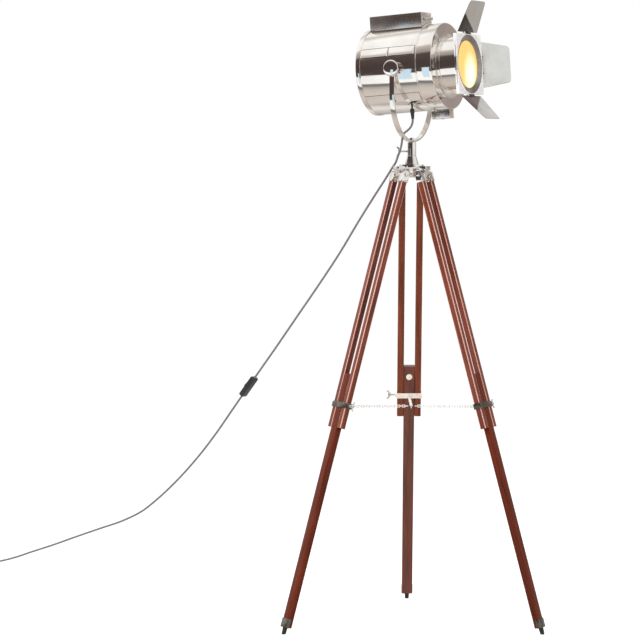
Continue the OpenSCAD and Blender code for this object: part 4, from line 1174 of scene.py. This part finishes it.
leafSet = {"base": 118, "tip": 92, "length": 85, "thick": 1.2, "start": 4.4, "edge": 1.2, "barrel": 3.2,
           "barrelLength": 34, "corner": 7, "earEnd": 22.7,
           "openings": {"top": 25, "bottom": 42, "left": 36, "right": 25}}


# A tapering plate with round outer corners, rolled round its pin in the middle, and two rivets.
def makeLeaf(name, s):
    b, t, l = s["base"] / 2, s["tip"] / 2, s["length"]
    half, ear, low = s["barrelLength"] / 2, s["earEnd"], s["edge"]
    outline = rounded([(s["start"], -half), (s["start"], -ear), (low, -ear), (low, -b), (l, -t), (l, t),
                       (low, b), (low, ear), (s["start"], ear), (s["start"], half), (0.5, half),
                       (0.5, -half)],
                      [0.3, 0.8, 0.5, 1.5, s["corner"] * 1.4, s["corner"] * 1.4, 1.5, 0.5, 0.8, 0.3, 0.3,
                       0.3], 6)
    plate = prism(outline, -s["thick"] / 2, s["thick"] / 2, 0.45, 3)
    plate = turnedShape(plate, "y", -90)
    roll = rod(s["barrel"], -s["barrelLength"] / 2, s["barrelLength"] / 2)
    rivets = []
    for side in (-1, 1):
        head = revolve([(0, 1.9), (0.45, 1.6), (0.75, 0.9), (0.85, 0)], 20, closed=False)
        rivets.append(shifted(head, (s["thick"] / 2, side * 11, 9)))
    shape = turnedShape(merged(plate, roll, *rivets), "y", s["openings"][name])
    steel = {"top": topLeafSteel, "bottom": lowLeafSteel}.get(name, leafSteel)
    addPiece("leaf" + name.capitalize(), shape, doorPlace(name), "door_" + name, steel,
             ["leaf_" + name])


makeDrum(drumSet)
makeFrontCover(frontSet)
makeNose(frontSet)
makeLens(frontSet)
makeLensRing(frontSet)
for name in leafSet["openings"]:
    makeLeaf(name, leafSet)
headEdges = [
    ("rear_cover", 0.5, headChrome, "head_chrome"), ("leaf_frame", 0.35, frameSteel, "leaf_steel"),
    ("leaf_pins", 0.3, screwChrome, "screw_chrome"), ("top_box", 0.8, boxChrome, "head_chrome"),
    ("bottom_box", 0.8, boxChrome, "head_chrome"), ("box_screws", 0.4, screwChrome, "screw_chrome"),
    ("trunnions", 0.5, darkMetal, "dark_metal"), ("reflector", 0, mirrorMetal, "reflector_metal"),
    ("lampholder", 0.6, ceramic, "holder_ceramic"), ("bulb", 0, ceramic, "bulb_glass"),
    ("gland", 0.4, blackPlastic, "gland_rubber"),
]
for node, edge, material, slot in headEdges:
    eased(node, edge, material, headPlace)
print("spotlight made")

for node, edge, slot in (("switch_body", 1.4, "switch_plastic"), ("switch_rocker", 0.4, "switch_plastic"),
                         ("plug", 0.8, "plug_plastic")):
    eased(node, edge, blackPlastic)

for key, above, below in (("upper", "head", "yoke_frame"), ("lower", "yoke_frame", "tripod")):
    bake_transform(cordPieces[key])
